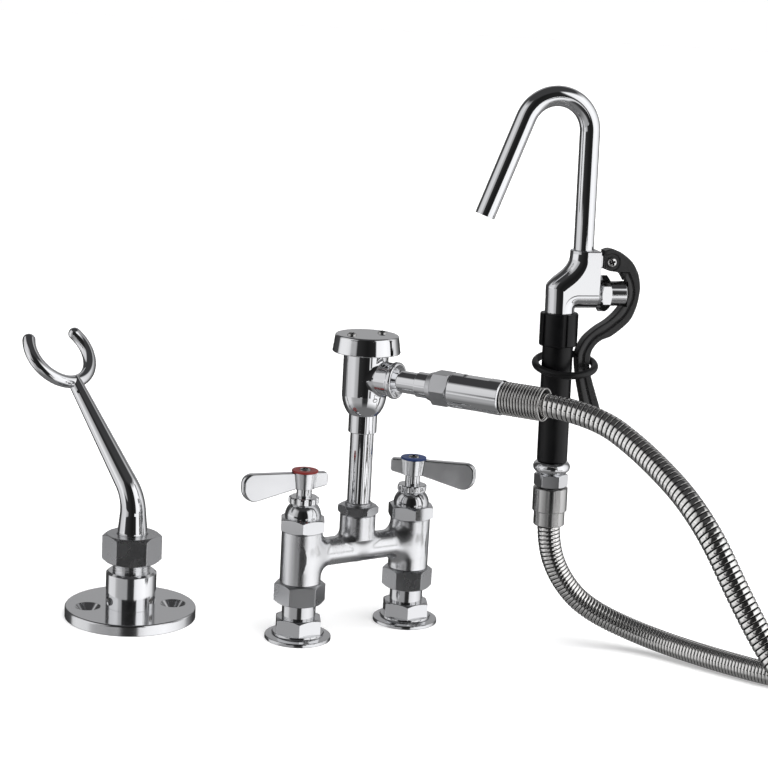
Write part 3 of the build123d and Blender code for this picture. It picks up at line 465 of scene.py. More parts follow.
def ribbed_hose(name, line, radius, pitch_at, around, rib, mat):
    """A strip wound hose. rib is a list of (share of the pitch, radius change, groove shade)."""
    s = arc_table(line)
    total = s[-1]
    frames_at = carried_frames(line)
    m = len(rib)
    grid = np.linspace(0.0002, total - 0.0002, 4000)
    rate = np.array([1.0 / pitch_at(d / total) for d in grid])
    count = np.concatenate(([0.0], np.cumsum((rate[1:] + rate[:-1]) / 2 * np.diff(grid))))
    turns = int(count[-1]) - 1
    rows = turns * m
    far = np.interp(np.arange(0, (turns + 2) * 400) / 400.0, count, grid)
    verts, shade = [], []
    import bisect
    for k in range(rows + 1):
        share, dr, sh = rib[k % m]
        for j in range(around):
            tau = k // m + share + j / around
            d = float(far[min(int(tau * 400), len(far) - 1)])
            i = min(max(bisect.bisect_right(s, d) - 1, 0), len(s) - 2)
            t = (d - s[i]) / (s[i + 1] - s[i])
            p = line[i].lerp(line[i + 1], t)
            u = frames_at[i][1].lerp(frames_at[i + 1][1], t)
            w = frames_at[i][2].lerp(frames_at[i + 1][2], t)
            a = 2 * math.pi * j / around
            verts.append(p + (u * math.cos(a) + w * math.sin(a)) * (radius + dr))
            shade.append(sh)
    start = float(grid[0])
    faces = []
    idx = lambda j, k: k * around + j
    for k in range(rows):
        for j in range(around - 1):
            faces.append((idx(j, k), idx(j + 1, k), idx(j + 1, k + 1), idx(j, k + 1)))
        if k + m + 1 <= rows:
            faces.append((idx(around - 1, k), idx(0, k + m), idx(0, k + m + 1), idx(around - 1, k + 1)))
    first = [idx(j, 0) for j in range(around)] + [idx(0, m - q) for q in range(m)][0:m]
    c0 = len(verts)
    verts.append(at_length(line, s, start))
    shade.append(1.0)
    loop = first
    for a, b in zip(loop, loop[1:] + loop[:1]):
        faces.append((b, a, c0))
    last = [idx(j, rows) for j in range(around)]
    tail = [idx(around - 1, rows - q) for q in range(1, m + 1)]
    loop = [idx(0, rows)] + last[1:] + tail
    c1 = len(verts)
    verts.append(at_length(line, s, total))
    shade.append(1.0)
    for a, b in zip(loop, loop[1:] + loop[:1]):
        faces.append((a, b, c1))
    ob = new_object(name, verts, faces, mat)
    # groove attribute carries the painted groove shade for the base colour
    att = ob.data.attributes.new("groove", "FLOAT", "POINT")
    att.data.foreach_set("value", shade)
    return ob


def hose_material():
    m, nt, b = make_mat("hose_ribs")
    b.inputs["Metallic"].default_value = 1.0
    at = node(nt, "ShaderNodeAttribute", attribute_name="groove")
    co = object_coords(nt)
    stain = noise(nt, 120.0, 3.0, 0.6, co)
    mix = node(nt, "ShaderNodeMath", operation="MULTIPLY_ADD")
    nt.links.new(stain, mix.inputs[0])
    mix.inputs[1].default_value = 0.16
    nt.links.new(at.outputs["Fac"], mix.inputs[2])
    # base colour falls from bright on the rib crowns through grey on the slopes to near-black in the grooves: painted
    # shade, with noise stains added
    nt.links.new(ramp(nt, mix.outputs[0], [(0.12, (0.93, 0.92, 0.90)), (0.32, (0.70, 0.69, 0.67)),
                                           (0.70, (0.05, 0.049, 0.047)), (1.0, (0.008, 0.008, 0.0075))]), b.inputs["Base Color"])
    nt.links.new(remap(nt, stain, 0.3, 0.7, 0.06, 0.16), b.inputs["Roughness"])
    return m


hose_mat = hose_material()
# third column is the painted shade factor: 1 in the groove bottom, 0 on the crown
RIB = [(0.00, -0.00055, 1.0), (0.08, -0.00055, 1.0), (0.115, -0.00027, 0.7), (0.15, -0.00006, 0.15), (0.21, -0.00001, 0.0), (0.52, 0.0, 0.0),
       (0.83, -0.00001, 0.0), (0.885, -0.00006, 0.15), (0.92, -0.00027, 0.7), (0.955, -0.00055, 1.0)]


def hose_pitch(share):
    """Strip pitch along the hose: pulled long on the upper run, pushed together on the lower one."""
    pts = [(0.0, 0.0040), (0.20, 0.0040), (0.45, 0.0034), (0.78, 0.0027), (0.93, 0.0026), (0.97, 0.0031), (1.0, 0.0033)]
    for (x0, y0), (x1, y1) in zip(pts, pts[1:]):
        if share <= x1:
            return y0 + (y1 - y0) * (share - x0) / (x1 - x0)
    return pts[-1][1]


hose = ribbed_hose("hose_ribbed", hose_line, 0.00885, hose_pitch, 30, RIB, hose_mat)
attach(hose, "faucet")
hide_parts("hose_upper_run", "hose_coil", "hose_lower_run")


# ---------------------------------------------------------------- tie on the stored coil
def tube(name, line, radius, around, mat, closed=False):
    n = len(line)
    fr = carried_frames(line)
    verts, faces = [], []
    for p, (t, u, w) in zip(line, fr):
        for j in range(around):
            a = 2 * math.pi * j / around
            verts.append(p + (u * math.cos(a) + w * math.sin(a)) * radius)
    for k in range(n - 1 if not closed else n):
        k2 = (k + 1) % n
        for j in range(around):
            j2 = (j + 1) % around
            faces.append((k * around + j, k * around + j2, k2 * around + j2, k2 * around + j))
    if not closed:
        faces.append(tuple(reversed(range(around))))
        faces.append(tuple((n - 1) * around + j for j in range(around)))
    return new_object(name, verts, faces, mat)


tie_a = math.radians(300)
tie_c = Vector((COIL_C[0] + 103 * math.cos(tie_a), COIL_C[1] + 103 * math.sin(tie_a), 18.2)) * MM
tie_u = Vector((math.cos(tie_a), math.sin(tie_a), 0))
tie_t = Vector((-math.sin(tie_a), math.cos(tie_a), 0))
tie_line = []
for i in range(97):
    a = 2 * math.pi * 1.5 * i / 96 + math.pi / 2
    cx, cz = math.cos(a), math.sin(a)
    lift = 9.2 * (1 if cz >= 0 else -1)
    p = tie_c + tie_u * (cx * 8.30) * MM + Vector((0, 0, (cz * 8.30 + lift) * MM)) + tie_t * ((i / 96 - 0.5) * 6.0) * MM
    tie_line.append(p)
tie = tube("hose_tie", tie_line, 0.00045, 10, mats["seal_rubber"])
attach(tie, "faucet")
[tuple(p) for p in hose_line]


# ---------------------------------------------------------------- spring guard
def outlet_point(rho, a, r):
    d = Vector((math.cos(math.radians(-63.1)), math.sin(math.radians(-63.1)), 0))
    side = Vector((0, 0, 1)).cross(d)
    return Vector((0, 0, 206.1 * MM)) + d * rho + (side * math.cos(a) + Vector((0, 0, 1)) * math.sin(a)) * r


wire_r = 0.00080
coil_line = []
TURNS, PER = 13, 44
for i in range(TURNS * PER + 1):
    f = i / PER
    coil_line.append(outlet_point(0.1200 + wire_r + (0.0322 - wire_r) * f / TURNS, 2 * math.pi * f, 0.01270 - wire_r))
guard = tube("guard_coils", coil_line, wire_r, 14, guard_steel)
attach(guard, "faucet")
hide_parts("hose_guard_spring")
MOUTH = [(12.12 + 0.78 * math.cos(2 * math.pi * k / 16), 153.2 + 0.78 * math.sin(2 * math.pi * k / 16)) for k in range(16)]
mouth = lathe_mesh("guard_mouth", [(r * MM, z * MM) for r, z in MOUTH], lambda r, a, z: outlet_point(z, a, r), 72, guard_steel)
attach(mouth, "faucet")
# dark sleeve inside the guard coils, there to make the gaps between the wires dark: painted shade
SHADE_SLEEVE = [(9.0, 120.0), (10.9, 120.0), (11.05, 120.3), (11.05, 152.2), (10.6, 152.5), (9.2, 150.0)]
shade_sleeve = lathe_mesh("guard_shade_sleeve", [(r * MM, z * MM) for r, z in SHADE_SLEEVE], lambda r, a, z: outlet_point(z, a, r), 48, mats["seal_rubber"])
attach(shade_sleeve, "faucet")


# ---------------------------------------------------------------- bridge casting
def bridge_field(x, y, z):
    ax = np.abs(x) - 50.8
    rc, rb, rt = np.hypot(ax, y), np.hypot(x, y), np.hypot(y, z - 67.3)
    tube_d = np.maximum(rt - 11.1, np.abs(x) - 50.8)
    f = join(capped(rc, z, 16.0, 45.5, 87.0, 0.7), tube_d, 8.0)
    boss = np.maximum(capped(rb, z, 14.1, 60.0, 95.3, 0.5), (rb - 14.1) * 0.78 - (z - 76.0) * 0.62)
    f = join(f, boss, 5.5)
    f = np.maximum(f, z - 87.0 - 100.0 * (ax < -25.0))
    f = np.minimum(f, capped(rc, z, 15.1, 38.0, 47.0, 0.3))
    f = np.maximum(f, -capped(rc, z, 7.6, 30.0, 58.0, 0.2))
    f = np.maximum(f, -capped(rc, z, 5.0, 50.0, 70.0, 0.2))
    f = np.maximum(f, -capped(rc, z, 11.0, 63.3, 99.0, 0.2))
    f = np.maximum(f, -np.maximum(rt - 6.5, np.abs(x) - 50.8))
    f = np.maximum(f, -capped(rb, z, 7.0, 67.3, 90.0, 0.2))
    return np.maximum(f, -capped(rb, z, 10.6, 82.0, 110.0, 0.2))


bridge = field_mesh("bridge_casting", bridge_field, (-68.5, -18.1, 36.3), (68.5, 18.1, 97.1), 0.8, world_place, satin_chrome)
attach(bridge, "faucet")
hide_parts("bridge_body")


# ---------------------------------------------------------------- vacuum breaker casting
OUT_X, OUT_Y = math.cos(math.radians(-63.1)), math.sin(math.radians(-63.1))


def breaker_field(x, y, z):
    rb = np.hypot(x, y)
    along = x * OUT_X + y * OUT_Y
    ro = np.hypot(y * OUT_X - x * OUT_Y, z - 206.1)
    bulb = np.where(z < 192.5, (np.hypot(rb / 17.5, (z - 192.5) / 22.4) - 1.0) * 17.5, rb - 17.5)
    f = meet(bulb, np.maximum(175.6 - z, z - 224.97), 0.5)
    boss = join(capped(ro, along, 13.2, 4.0, 29.0, 0.5), capped(ro, along, 14.4, 25.2, 29.5, 1.5), 1.0)
    f = join(f, boss, 2.2)
    f = np.minimum(f, capped(rb, z, 11.15, 161.3, 178.0, 0.6))
    f = np.maximum(f, -capped(rb, z, 9.28, 150.0, 172.0, 0.1))
    f = np.maximum(f, -capped(rb, z, 6.5, 170.0, 190.0, 0.1))
    f = np.maximum(f, -capped(rb, z, 9.6, 187.97, 195.0, 0.1))
    f = np.maximum(f, -capped(rb, z, 10.83, 190.0, 240.0, 0.1))
    f = np.maximum(f, -capped(ro, along, 6.5, 0.0, 20.0, 0.1))
    f = np.maximum(f, -capped(ro, along, 8.6, 18.0, 40.0, 0.1))
    f = np.maximum(f, -np.maximum((ro - 8.6 - (along - 25.6) * 0.95) * 0.72, 25.0 - along))
    return np.maximum(f, -capped(np.hypot(np.abs(x) - 14.0, y), z, 1.65, 217.0, 240.0, 0.1))


breaker = field_mesh("breaker_casting", breaker_field, (-18.6, -34.1, 160.2), (28.1, 18.6, 226.1), 0.5, world_place, cast_chrome)
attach(breaker, "faucet")
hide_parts("vacuum_breaker_body")


# ---------------------------------------------------------------- packing nuts
def packing_nut(name, side, cx, turn):
    def field(x, y, z):
        r = np.hypot(x, y)
        a = np.arctan2(y, x) - turn
        a = np.mod(a + math.pi / 8, math.pi / 4) - math.pi / 8
        f = capped(r, z, 11.85, 108.5, 114.4, 1.7)
        f = meet(f, 3.4 - np.hypot(r * np.cos(a) - 14.0, r * np.sin(a)), 0.8)
        return np.maximum(f, 5.95 - r)

    ob = field_mesh(name, field, (-13.1, -13.1, 107.3), (13.1, 13.1, 115.6), 0.4, lambda p: (p + np.array((cx, 0, 0))) * MM, cast_chrome)
    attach(ob, "faucet")
    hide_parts("packing_nut_" + side)


packing_nut("packing_lobes_hot", "hot", -50.8, math.radians(166.8))
packing_nut("packing_lobes_cold", "cold", 50.8, math.radians(-41.2))


# ---------------------------------------------------------------- lever handles
def rounded(corners, steps=8):
    """Closed outline with rounded corners from (x, z, radius) points."""
    out = []
    n = len(corners)
    for i in range(n):
        p = np.array(corners[i][:2], float)
        r = corners[i][2]
        u = np.array(corners[i - 1][:2], float) - p
        v = np.array(corners[(i + 1) % n][:2], float) - p
        u /= np.linalg.norm(u)
        v /= np.linalg.norm(v)
        half = math.acos(max(-1, min(1, float(u.dot(v))))) / 2
        if r <= 0:
            out.append(tuple(p))
            continue
        t = r / math.tan(half)
        mid = p + (u + v) / np.linalg.norm(u + v) * (r / math.sin(half))
        a0 = p + u * t - mid
        a1 = p + v * t - mid
        turn = math.atan2(a0[0] * a1[1] - a0[1] * a1[0], float(a0.dot(a1)))
        for k in range(steps + 1):
            c, s = math.cos(turn * k / steps), math.sin(turn * k / steps)
            out.append((mid[0] + a0[0] * c - a0[1] * s, mid[1] + a0[0] * s + a0[1] * c))
    return out


def handle_lever(side, body, cx, degrees, lift):
    h0, h1 = 120.7 + lift, 133.7 + lift
    edge = outline(rounded([(-18, h0 + 2.5, 2.5), (-18, h1 - 0.3, 2.5), (50.4, h1 - 0.1, 7.0), (51, h0 - 11.9, 10.0), (7, h0 + 0.2, 6.0), (-8, h0 + 0.2, 3.0)]))
    along = np.array((math.cos(math.radians(degrees)), math.sin(math.radians(degrees)), 0))
    thick = np.array((-along[1], along[0], 0))

    def field(u, t, w):
        tip = np.clip((u - 42.0) / 6.0, 0, 1)
        f = meet(edge(u, w), np.abs(t) - 3.3, 0.9 + 1.9 * tip * tip * (3 - 2 * tip))
        r = np.hypot(u, t)
        hub = meet((r - 7.4 - 1.4 * (w - h0) / 13.0) * 0.994, np.abs(w - (h0 + h1) / 2) - 6.5, 0.35)
        f = join(f, hub, 1.3)
        f = np.maximum(f, np.abs(w - (h0 + h1) / 2 + 10.0) - 16.5)
        f = np.maximum(f, -capped(r, w, 4.05, h0 - 5.0, h0 + 9.4, 0.1))
        return np.maximum(f, 2.3 - r)

    def place(p):
        return (np.array((cx, 0, 0)) + p[:, :1] * along + p[:, 1:2] * thick + p[:, 2:3] * np.array((0, 0, 1.0))) * MM

    ob = field_mesh("paddle_" + side, field, (-19.6, -10.6, h0 - 13.4), (52.6, 10.6, h1 + 1.4), 0.5, place, lever_chrome)
    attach(ob, body)
    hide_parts("lever_" + side)


handle_lever("hot", "hot_handle", -50.8, 166.8, 0.0)
handle_lever("cold", "cold_handle", 50.8, -41.2, 1.3)


# ---------------------------------------------------------------- cross recess screws
def screw_field(x, y, z, r, base, rim, top, shank, tail, turn):
    """Pan head with a cross recess: head from base to top, shank down to tail."""
    p = np.hypot(x, y)
    ball = (r * r + (top - rim) ** 2) / (2 * (top - rim))
    f = meet(p - r, np.hypot(p, z - (top - ball)) - ball, 0.25)
    f = np.maximum(f, base - z)
    a, b = np.abs(x * math.cos(turn) + y * math.sin(turn)), np.abs(y * math.cos(turn) - x * math.sin(turn))
    long, thin = r * 0.66, r * 0.20
    cross = np.minimum(np.maximum(a - thin, b - long), np.maximum(b - thin, a - long))
    f = meet(f, -np.maximum(cross, top - r * 0.62 + 0.3 * np.maximum(a, b) - z), 0.1)
    return np.minimum(f, capped(p, z, shank, tail, base + 0.4, 0.2))


def screw_material():
    m, nt, b = make_mat("screw_bright")
    b.inputs["Metallic"].default_value = 1.0
    at = node(nt, "ShaderNodeAttribute", attribute_name="recess")
    co = object_coords(nt)
    # base colour runs from bright steel to near-black as the recess value rises: painted shade in the cross recess
    nt.links.new(ramp(nt, at.outputs["Fac"], [(0.0, (0.80, 0.795, 0.78)), (0.5, (0.18, 0.175, 0.17)), (1.0, (0.03, 0.029, 0.028))]), b.inputs["Base Color"])
    nt.links.new(remap(nt, noise(nt, 260.0, 3.0, 0.6, co), 0.3, 0.7, 0.10, 0.22), b.inputs["Roughness"])
    return m


def shade_recess(ob, to_local, heads):
    """Painted shade in the cross recess: per point value from its depth under the head's dome, stored as the recess
    attribute that darkens the base colour.
    """
    pts = to_local(np.array([v.co for v in ob.data.vertices]) / MM)
    shade = np.zeros(len(pts))
    for cx, cy, r, rim, top, turn in heads:
        x, y, z = pts[:, 0] - cx, pts[:, 1] - cy, pts[:, 2]
        ball = (r * r + (top - rim) ** 2) / (2 * (top - rim))
        depth = ball - np.hypot(np.hypot(x, y), z - (top - ball))
        a, b = np.abs(x * math.cos(turn) + y * math.sin(turn)), np.abs(y * math.cos(turn) - x * math.sin(turn))
        cross = np.minimum(np.maximum(a - r * 0.2, b - r * 0.66), np.maximum(b - r * 0.2, a - r * 0.66))
        shade = np.maximum(shade, np.where((cross < 0.06) & (z > rim - r * 0.7), np.clip((depth - 0.08) / 0.35, 0, 1), 0))
    ob.data.attributes.new("recess", "FLOAT", "POINT").data.foreach_set("value", shade.astype(np.float32))


screw_bright = screw_material()


def handle_screw(side, body, cx, lift, turn):
    h0, h1 = 120.7 + lift, 133.7 + lift
    field = lambda x, y, z: screw_field(x, y, z, 4.5, h1, h1 + 1.5, h1 + 3.4, 2.0, h0 + 2.3, turn)
    ob = field_mesh("screw_" + side, field, (-5.1, -5.1, h0 + 1.7), (5.1, 5.1, h1 + 4.0), 0.25, lambda p: (p + np.array((cx, 0, 0))) * MM, screw_bright)
    shade_recess(ob, lambda p: p - np.array((cx, 0, 0)), [(0, 0, 4.5, h1 + 1.5, h1 + 3.4, turn)])
    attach(ob, body)
    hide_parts("handle_screw_" + side)


handle_screw("hot", "hot_handle", -50.8, 0.0, 0.3)
handle_screw("cold", "cold_handle", 50.8, 1.3, 0.9)
cap_field = lambda x, y, z: np.minimum(screw_field(x - 14.0, y, z, 3.7, 239.0, 239.7, 241.2, 1.5, 218.0, 0.25),
                                       screw_field(x + 14.0, y, z, 3.7, 239.0, 239.7, 241.2, 1.5, 218.0, 1.1))
cap_pair = field_mesh("screws_cap", cap_field, (-18.4, -4.3, 217.3), (18.4, 4.3, 241.9), 0.28, world_place, screw_bright)
shade_recess(cap_pair, lambda p: p, [(14.0, 0, 3.7, 239.7, 241.2, 0.25), (-14.0, 0, 3.7, 239.7, 241.2, 1.1)])
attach(cap_pair, "faucet")
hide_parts("cap_screws")


def pivot_field(x, y, z):
    head = screw_field(x - 38.0, z - 208.3, -y, 3.5, 6.3, 6.9, 8.2, 2.0, -6.6, 0.35)
    return np.minimum(head, capped(np.hypot(x - 38.0, z - 208.3), y, 3.5, 6.3, 8.0, 0.4))


pivot_screw = field_mesh("screw_pivot", pivot_field, (34.0, -8.8, 204.3), (42.0, 8.7, 212.3), 0.25, nozzle_place, screw_bright)
shade_recess(pivot_screw, lambda p: np.stack(((p - NOZ) @ NOZ_X - 38.0, (p - NOZ) @ NOZ_Z - 208.3, -((p - NOZ) @ NOZ_Y)), 1), [(0, 0, 3.5, 6.9, 8.2, 0.35)])
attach(pivot_screw, "nozzle")
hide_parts("lever_screw")


# ---------------------------------------------------------------- nozzle valve casting
LEFT = [(-11.4, 150), (-11.4, 165), (-11.45, 180), (-11.55, 186.5), (-11.1, 190.5), (-7.1, 195.3), (1.5, 202.4), (5.6, 208.2), (6.5, 213.4),
        (6.5, 220), (6.5, 240)]
left_edge = outline([tuple(p) for p in smooth_points(LEFT, 6)] + [(100, 240), (100, 150)])
low_edge = outline([(-100, 150), (11.4, 150), (11.4, 172.3), (100, 172.3), (100, 260), (-100, 260)])


def valve_field(x, y, z):
    R = 11.3
    d = -np.maximum(left_edge(x, z), low_edge(x, z))
    f = np.hypot(np.maximum(R - d, 0), y) - R
    f = meet(f, z - 217.0, 0.7)
    f = meet(f, x - 28.0, 0.7)
    f = np.maximum(f, 168.6 - z)
    rv, rs = np.hypot(y, z - 183.5), np.hypot(x - 16.6, y)
    f = np.minimum(f, capped(rv, x, 10.8, 5.0, 28.8, 0.3))
    t = np.clip(x, 24.0, 38.0)
    ear = meet(np.hypot(x - t, z - 208.3) - 5.2, np.abs(y) - 2.4, 0.4)
    f = join(f, np.maximum(ear, 22.0 - x), 0.8)
    f = meet(f, -capped(rs, z, 9.0, 216.0, 230.0, 0.2), 0.3)
    rn = np.hypot(x, y)
    f = np.maximum(f, -capped(rn, z, 8.05, 150.0, 172.0, 0.2))
    f = np.maximum(f, -capped(rn, z, 5.0, 150.0, 180.0, 0.2))
    f = np.maximum(f, -capped(rv, x, 9.05, -3.0, 60.0, 0.2))
    f = np.maximum(f, -capped(rs, z, 6.0, 183.5, 206.0, 0.2))
    f = np.maximum(f, -capped(rs, z, 7.75, 203.0, 240.0, 0.2))
    return np.maximum(f, 2.05 - np.hypot(x - 38.0, z - 208.3))


valve = field_mesh("valve_casting", valve_field, (-13.2, -13.2, 166.9), (45.2, 13.2, 218.9), 0.55, nozzle_place, cast_chrome)
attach(valve, "nozzle")
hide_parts("valve_body")


# ---------------------------------------------------------------- squeeze lever
OUTER = [(34.6, 217.2), (39.4, 218.4), (45.5, 216.9), (51.5, 213.3), (57.4, 208.0), (62.1, 200.0), (64.3, 191.0), (64.2, 183.8),
         (62.5, 174.2), (57.4, 162.7), (44.6, 151.6), (34.6, 147.0), (28.8, 140.4), (27.2, 133.0), (27.3, 126.0), (29.2, 118.0),
         (33.6, 105.0), (38.4, 91.0), (40.6, 83.5)]
INNER = [(29.0, 81.0), (25.6, 90.0), (21.6, 105.0), (18.4, 119.6), (17.0, 129.5), (17.0, 136.7), (18.6, 142.2), (23.0, 149.6),
         (31.4, 157.0), (40.6, 163.0), (48.6, 171.0), (54.0, 180.0), (54.6, 186.0), (52.2, 194.2), (47.7, 199.8), (39.5, 201.4),
         (34.6, 203.0)]
RIDGE = [(36.0, 70.0), (32.2, 90.5), (27.8, 105.0), (24.0, 118.8), (22.3, 129.5), (22.9, 138.1), (29.0, 148.2), (38.3, 154.2), (46.0, 159.9), (53.2, 166.7),
         (58.6, 177.0), (59.9, 184.9), (58.5, 192.5), (54.5, 200.5)]
SHIFT = -2.3
shift = lambda pts: [(a + SHIFT, b) for a, b in pts]
lever_edge = outline([tuple(p) for p in smooth_points(shift(OUTER), 5)] + [(35.8 + SHIFT, 80.3)] + [tuple(p) for p in smooth_points(shift(INNER), 5)])
ridge_edge = outline([tuple(p) for p in smooth_points(shift(RIDGE), 4)] + [(30, 200.5), (-40, 200.5), (-40, 70)])


def lever_field(x, y, z):
    d = ridge_edge(x, z)
    rp = np.hypot(x - 38.0, z - 208.3)
    s = np.clip(d / 1.1 + 0.5, 0, 1)
    low = 5.7 - 1.5 * np.exp(np.minimum(d, 0) / 1.8)
    half = low + (6.0 - low) * s * s * (3 - 2 * s)
    ring = np.clip((7.0 - rp) / 0.7, 0, 1) * np.clip((rp - 3.9) / 0.5, 0, 1)
    f = meet(lever_edge(x, z), np.abs(y) - half + 0.9 * ring, 1.1)
    slot = np.maximum(np.abs(y) - 2.8, np.minimum(rp - 6.0, np.maximum(np.maximum(x - 38.0, 24.0 - x), np.abs(z - 208.3) - 6.0)))
    f = np.maximum(f, -slot)
    f = np.maximum(f, -capped(np.hypot(y, z - 183.5), x, 11.0, 30.0, 52.1, 0.3))
    return np.maximum(f, 2.1 - rp)


squeeze = field_mesh("lever_moulding", lever_field, (12.1, -7.4, 77.4), (64.2, 7.4, 220.4), 0.42, nozzle_place, mats["lever_black"])
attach(squeeze, "squeeze")
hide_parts("squeeze_lever")


# ---------------------------------------------------------------- grip collar with five ribs
def collar_field(x, y, z):
    r = np.hypot(x, y)
    step = 2 * math.pi / 5
    a = np.mod(np.arctan2(y, x) - math.radians(-85) + step / 2, step) - step / 2
    f = capped(r, z, 14.75, 143.0, 168.6, 1.3)
    cut = meet(np.abs(r * np.sin(a)) - 1.35, 13.0 - r, 0.4)
    f = meet(f, -cut, 0.5)
    return np.maximum(f, 8.05 - r)


collar = field_mesh("collar_ribs", collar_field, (-16.1, -16.1, 141.7), (16.1, 16.1, 170.0), 0.5, nozzle_place, mats["grip_rubber"])
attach(collar, "nozzle")
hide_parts("grip_collar")


# ---------------------------------------------------------------- bent arm
def bent_arm():
    foot = Vector((-146.1, 101.7, 0))
    out = Vector((math.cos(math.radians(108.7)), math.sin(math.radians(108.7)), 0))
    z_up = Vector((0, 0, 1))
    saddle = foot + out * 69.7 + z_up * 179.7
    lean = (saddle - (foot + z_up * 98.0)).normalized()
    across = z_up.cross(out)
    half = math.acos(lean.z) / 2
    leg = 13.0
    big = leg / math.tan(half)
    mid = foot + z_up * (98.0 - leg) + out * big
    rings = [(foot + z_up * z, z_up, r) for z, r in ((44.0, 7.4), (44.6, 8.0), (58.4, 8.0), (58.4, 14.4), (61.6, 14.4), (61.6, 12.0), (68.6, 12.0))]
    for k in range(1, 9):
        rings.append((foot + z_up * (68.6 + 16.4 * k / 8), z_up, 11.95 - 1.65 * k / 8))
    for k in range(1, 31):
        a = 2 * half * k / 30
        rings.append((mid - out * big * math.cos(a) + z_up * big * math.sin(a), z_up * math.cos(a) + out * math.sin(a), 10.3 - 1.5 * k / 30))
    last = rings[-1][0]
    for k in range(1, 21):
        rings.append((last.lerp(saddle + lean * 2.0, k / 20), lean, 8.8 - 3.3 * k / 20))
    n = 56
    verts, faces = [], []
    for p, t, r in rings:
        u = across
        w = t.cross(u)
        for j in range(n):
            a = 2 * math.pi * j / n
            verts.append((p + (u * math.cos(a) + w * math.sin(a)) * r) * MM)
    for k in range(len(rings) - 1):
        for j in range(n):
            j2 = (j + 1) % n
            faces.append((k * n + j, k * n + j2, (k + 1) * n + j2, (k + 1) * n + j))
    faces.append(tuple(reversed(range(n))))
    faces.append(tuple((len(rings) - 1) * n + j for j in range(n)))
    return sharp_by_angle(new_object("arm_bent", verts, faces, cast_chrome), 35)


arm = bent_arm()
PIN_O, PIN_N = np.array((-169.87, 156.95, 173.68)), np.array((-0.6212, -0.6838, 0.3827))
PIN_U = np.cross(PIN_N, (0.0, 0.0, 1.0))
PIN_U = PIN_U / np.linalg.norm(PIN_U)
PIN_V = np.cross(PIN_N, PIN_U)
PIN = [(1.45, -1.6), (1.45, 0.22), (1.3, 0.35), (0.95, 0.35), (0.85, 0.12)]
pin_verts = [Vector((PIN_O + (PIN_U * math.cos(2 * math.pi * j / 24) + PIN_V * math.sin(2 * math.pi * j / 24)) * r + PIN_N * z) * MM)
             for r, z in PIN for j in range(24)]
pin_faces = [(k * 24 + j, k * 24 + (j + 1) % 24, (k + 1) * 24 + (j + 1) % 24, (k + 1) * 24 + j) for k in range(4) for j in range(24)]
pin_faces += [tuple(reversed(range(24))), tuple(96 + j for j in range(24))]
# near-black metal so the small head reads as a dark pin hole: painted shade
pin = sharp_by_angle(new_object("arm_pin", pin_verts, pin_faces, metal("pin_hole_shade", (0.10, 0.10, 0.10), 0.30, 0.15, 0.0)), 32)
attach(pin, "hook_arm")
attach(arm, "hook_arm")
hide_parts("holder_arm")


# ---------------------------------------------------------------- floor and light
def floor_disc():
    verts, faces = [], []
    n = 96
    rings = [0.0005, 1.2, 4.0, 14.0, 60.0]
    for r in rings:
        for j in range(n):
            a = 2 * math.pi * j / n
            verts.append((r * math.cos(a), r * math.sin(a), -0.0002))
    for k in range(len(rings) - 1):
        for j in range(n):
            j2 = (j + 1) % n
            faces.append((k * n + j, (k + 1) * n + j, (k + 1) * n + j2, k * n + j2))
    faces.append(tuple(range(n)))
    m, nt, b = make_mat("floor_pale")
    co = object_coords(nt)
    nt.links.new(ramp(nt, noise(nt, 2.5, 2.0, 0.5, co), [(0.3, (0.885, 0.885, 0.885)), (0.7, (0.90, 0.90, 0.90))]), b.inputs["Base Color"])
    b.inputs["Roughness"].default_value = 0.75
    b.inputs["Specular IOR Level"].default_value = 0.1
    b.inputs["Emission Color"].default_value = (1, 1, 1, 1)
    b.inputs["Emission Strength"].default_value = 0.30
    return new_object("floor", verts, faces, m, smooth=False)


floor = floor_disc()
floor.visible_glossy = False


def backdrop_ring():
    """Pale wall far behind the floor, seen only directly."""
    verts, faces = [], []
    n = 96
    for z in (-0.5, 14.0):
        for j in range(n):
            a = 2 * math.pi * j / n
            verts.append((59 * math.cos(a), 59 * math.sin(a), z))
    for j in range(n):
        j2 = (j + 1) % n
        faces.append((j, n + j, n + j2, j2))
    m, nt, b = make_mat("backdrop_pale")
    b.inputs["Base Color"].default_value = (0, 0, 0, 1)
    b.inputs["Emission Color"].default_value = (1, 1, 1, 1)
    b.inputs["Emission Strength"].default_value = 1.0
    ob = new_object("backdrop", verts, faces, m)
    ob.visible_glossy = ob.visible_diffuse = ob.visible_shadow = ob.visible_transmission = False
    return ob


backdrop_ring()


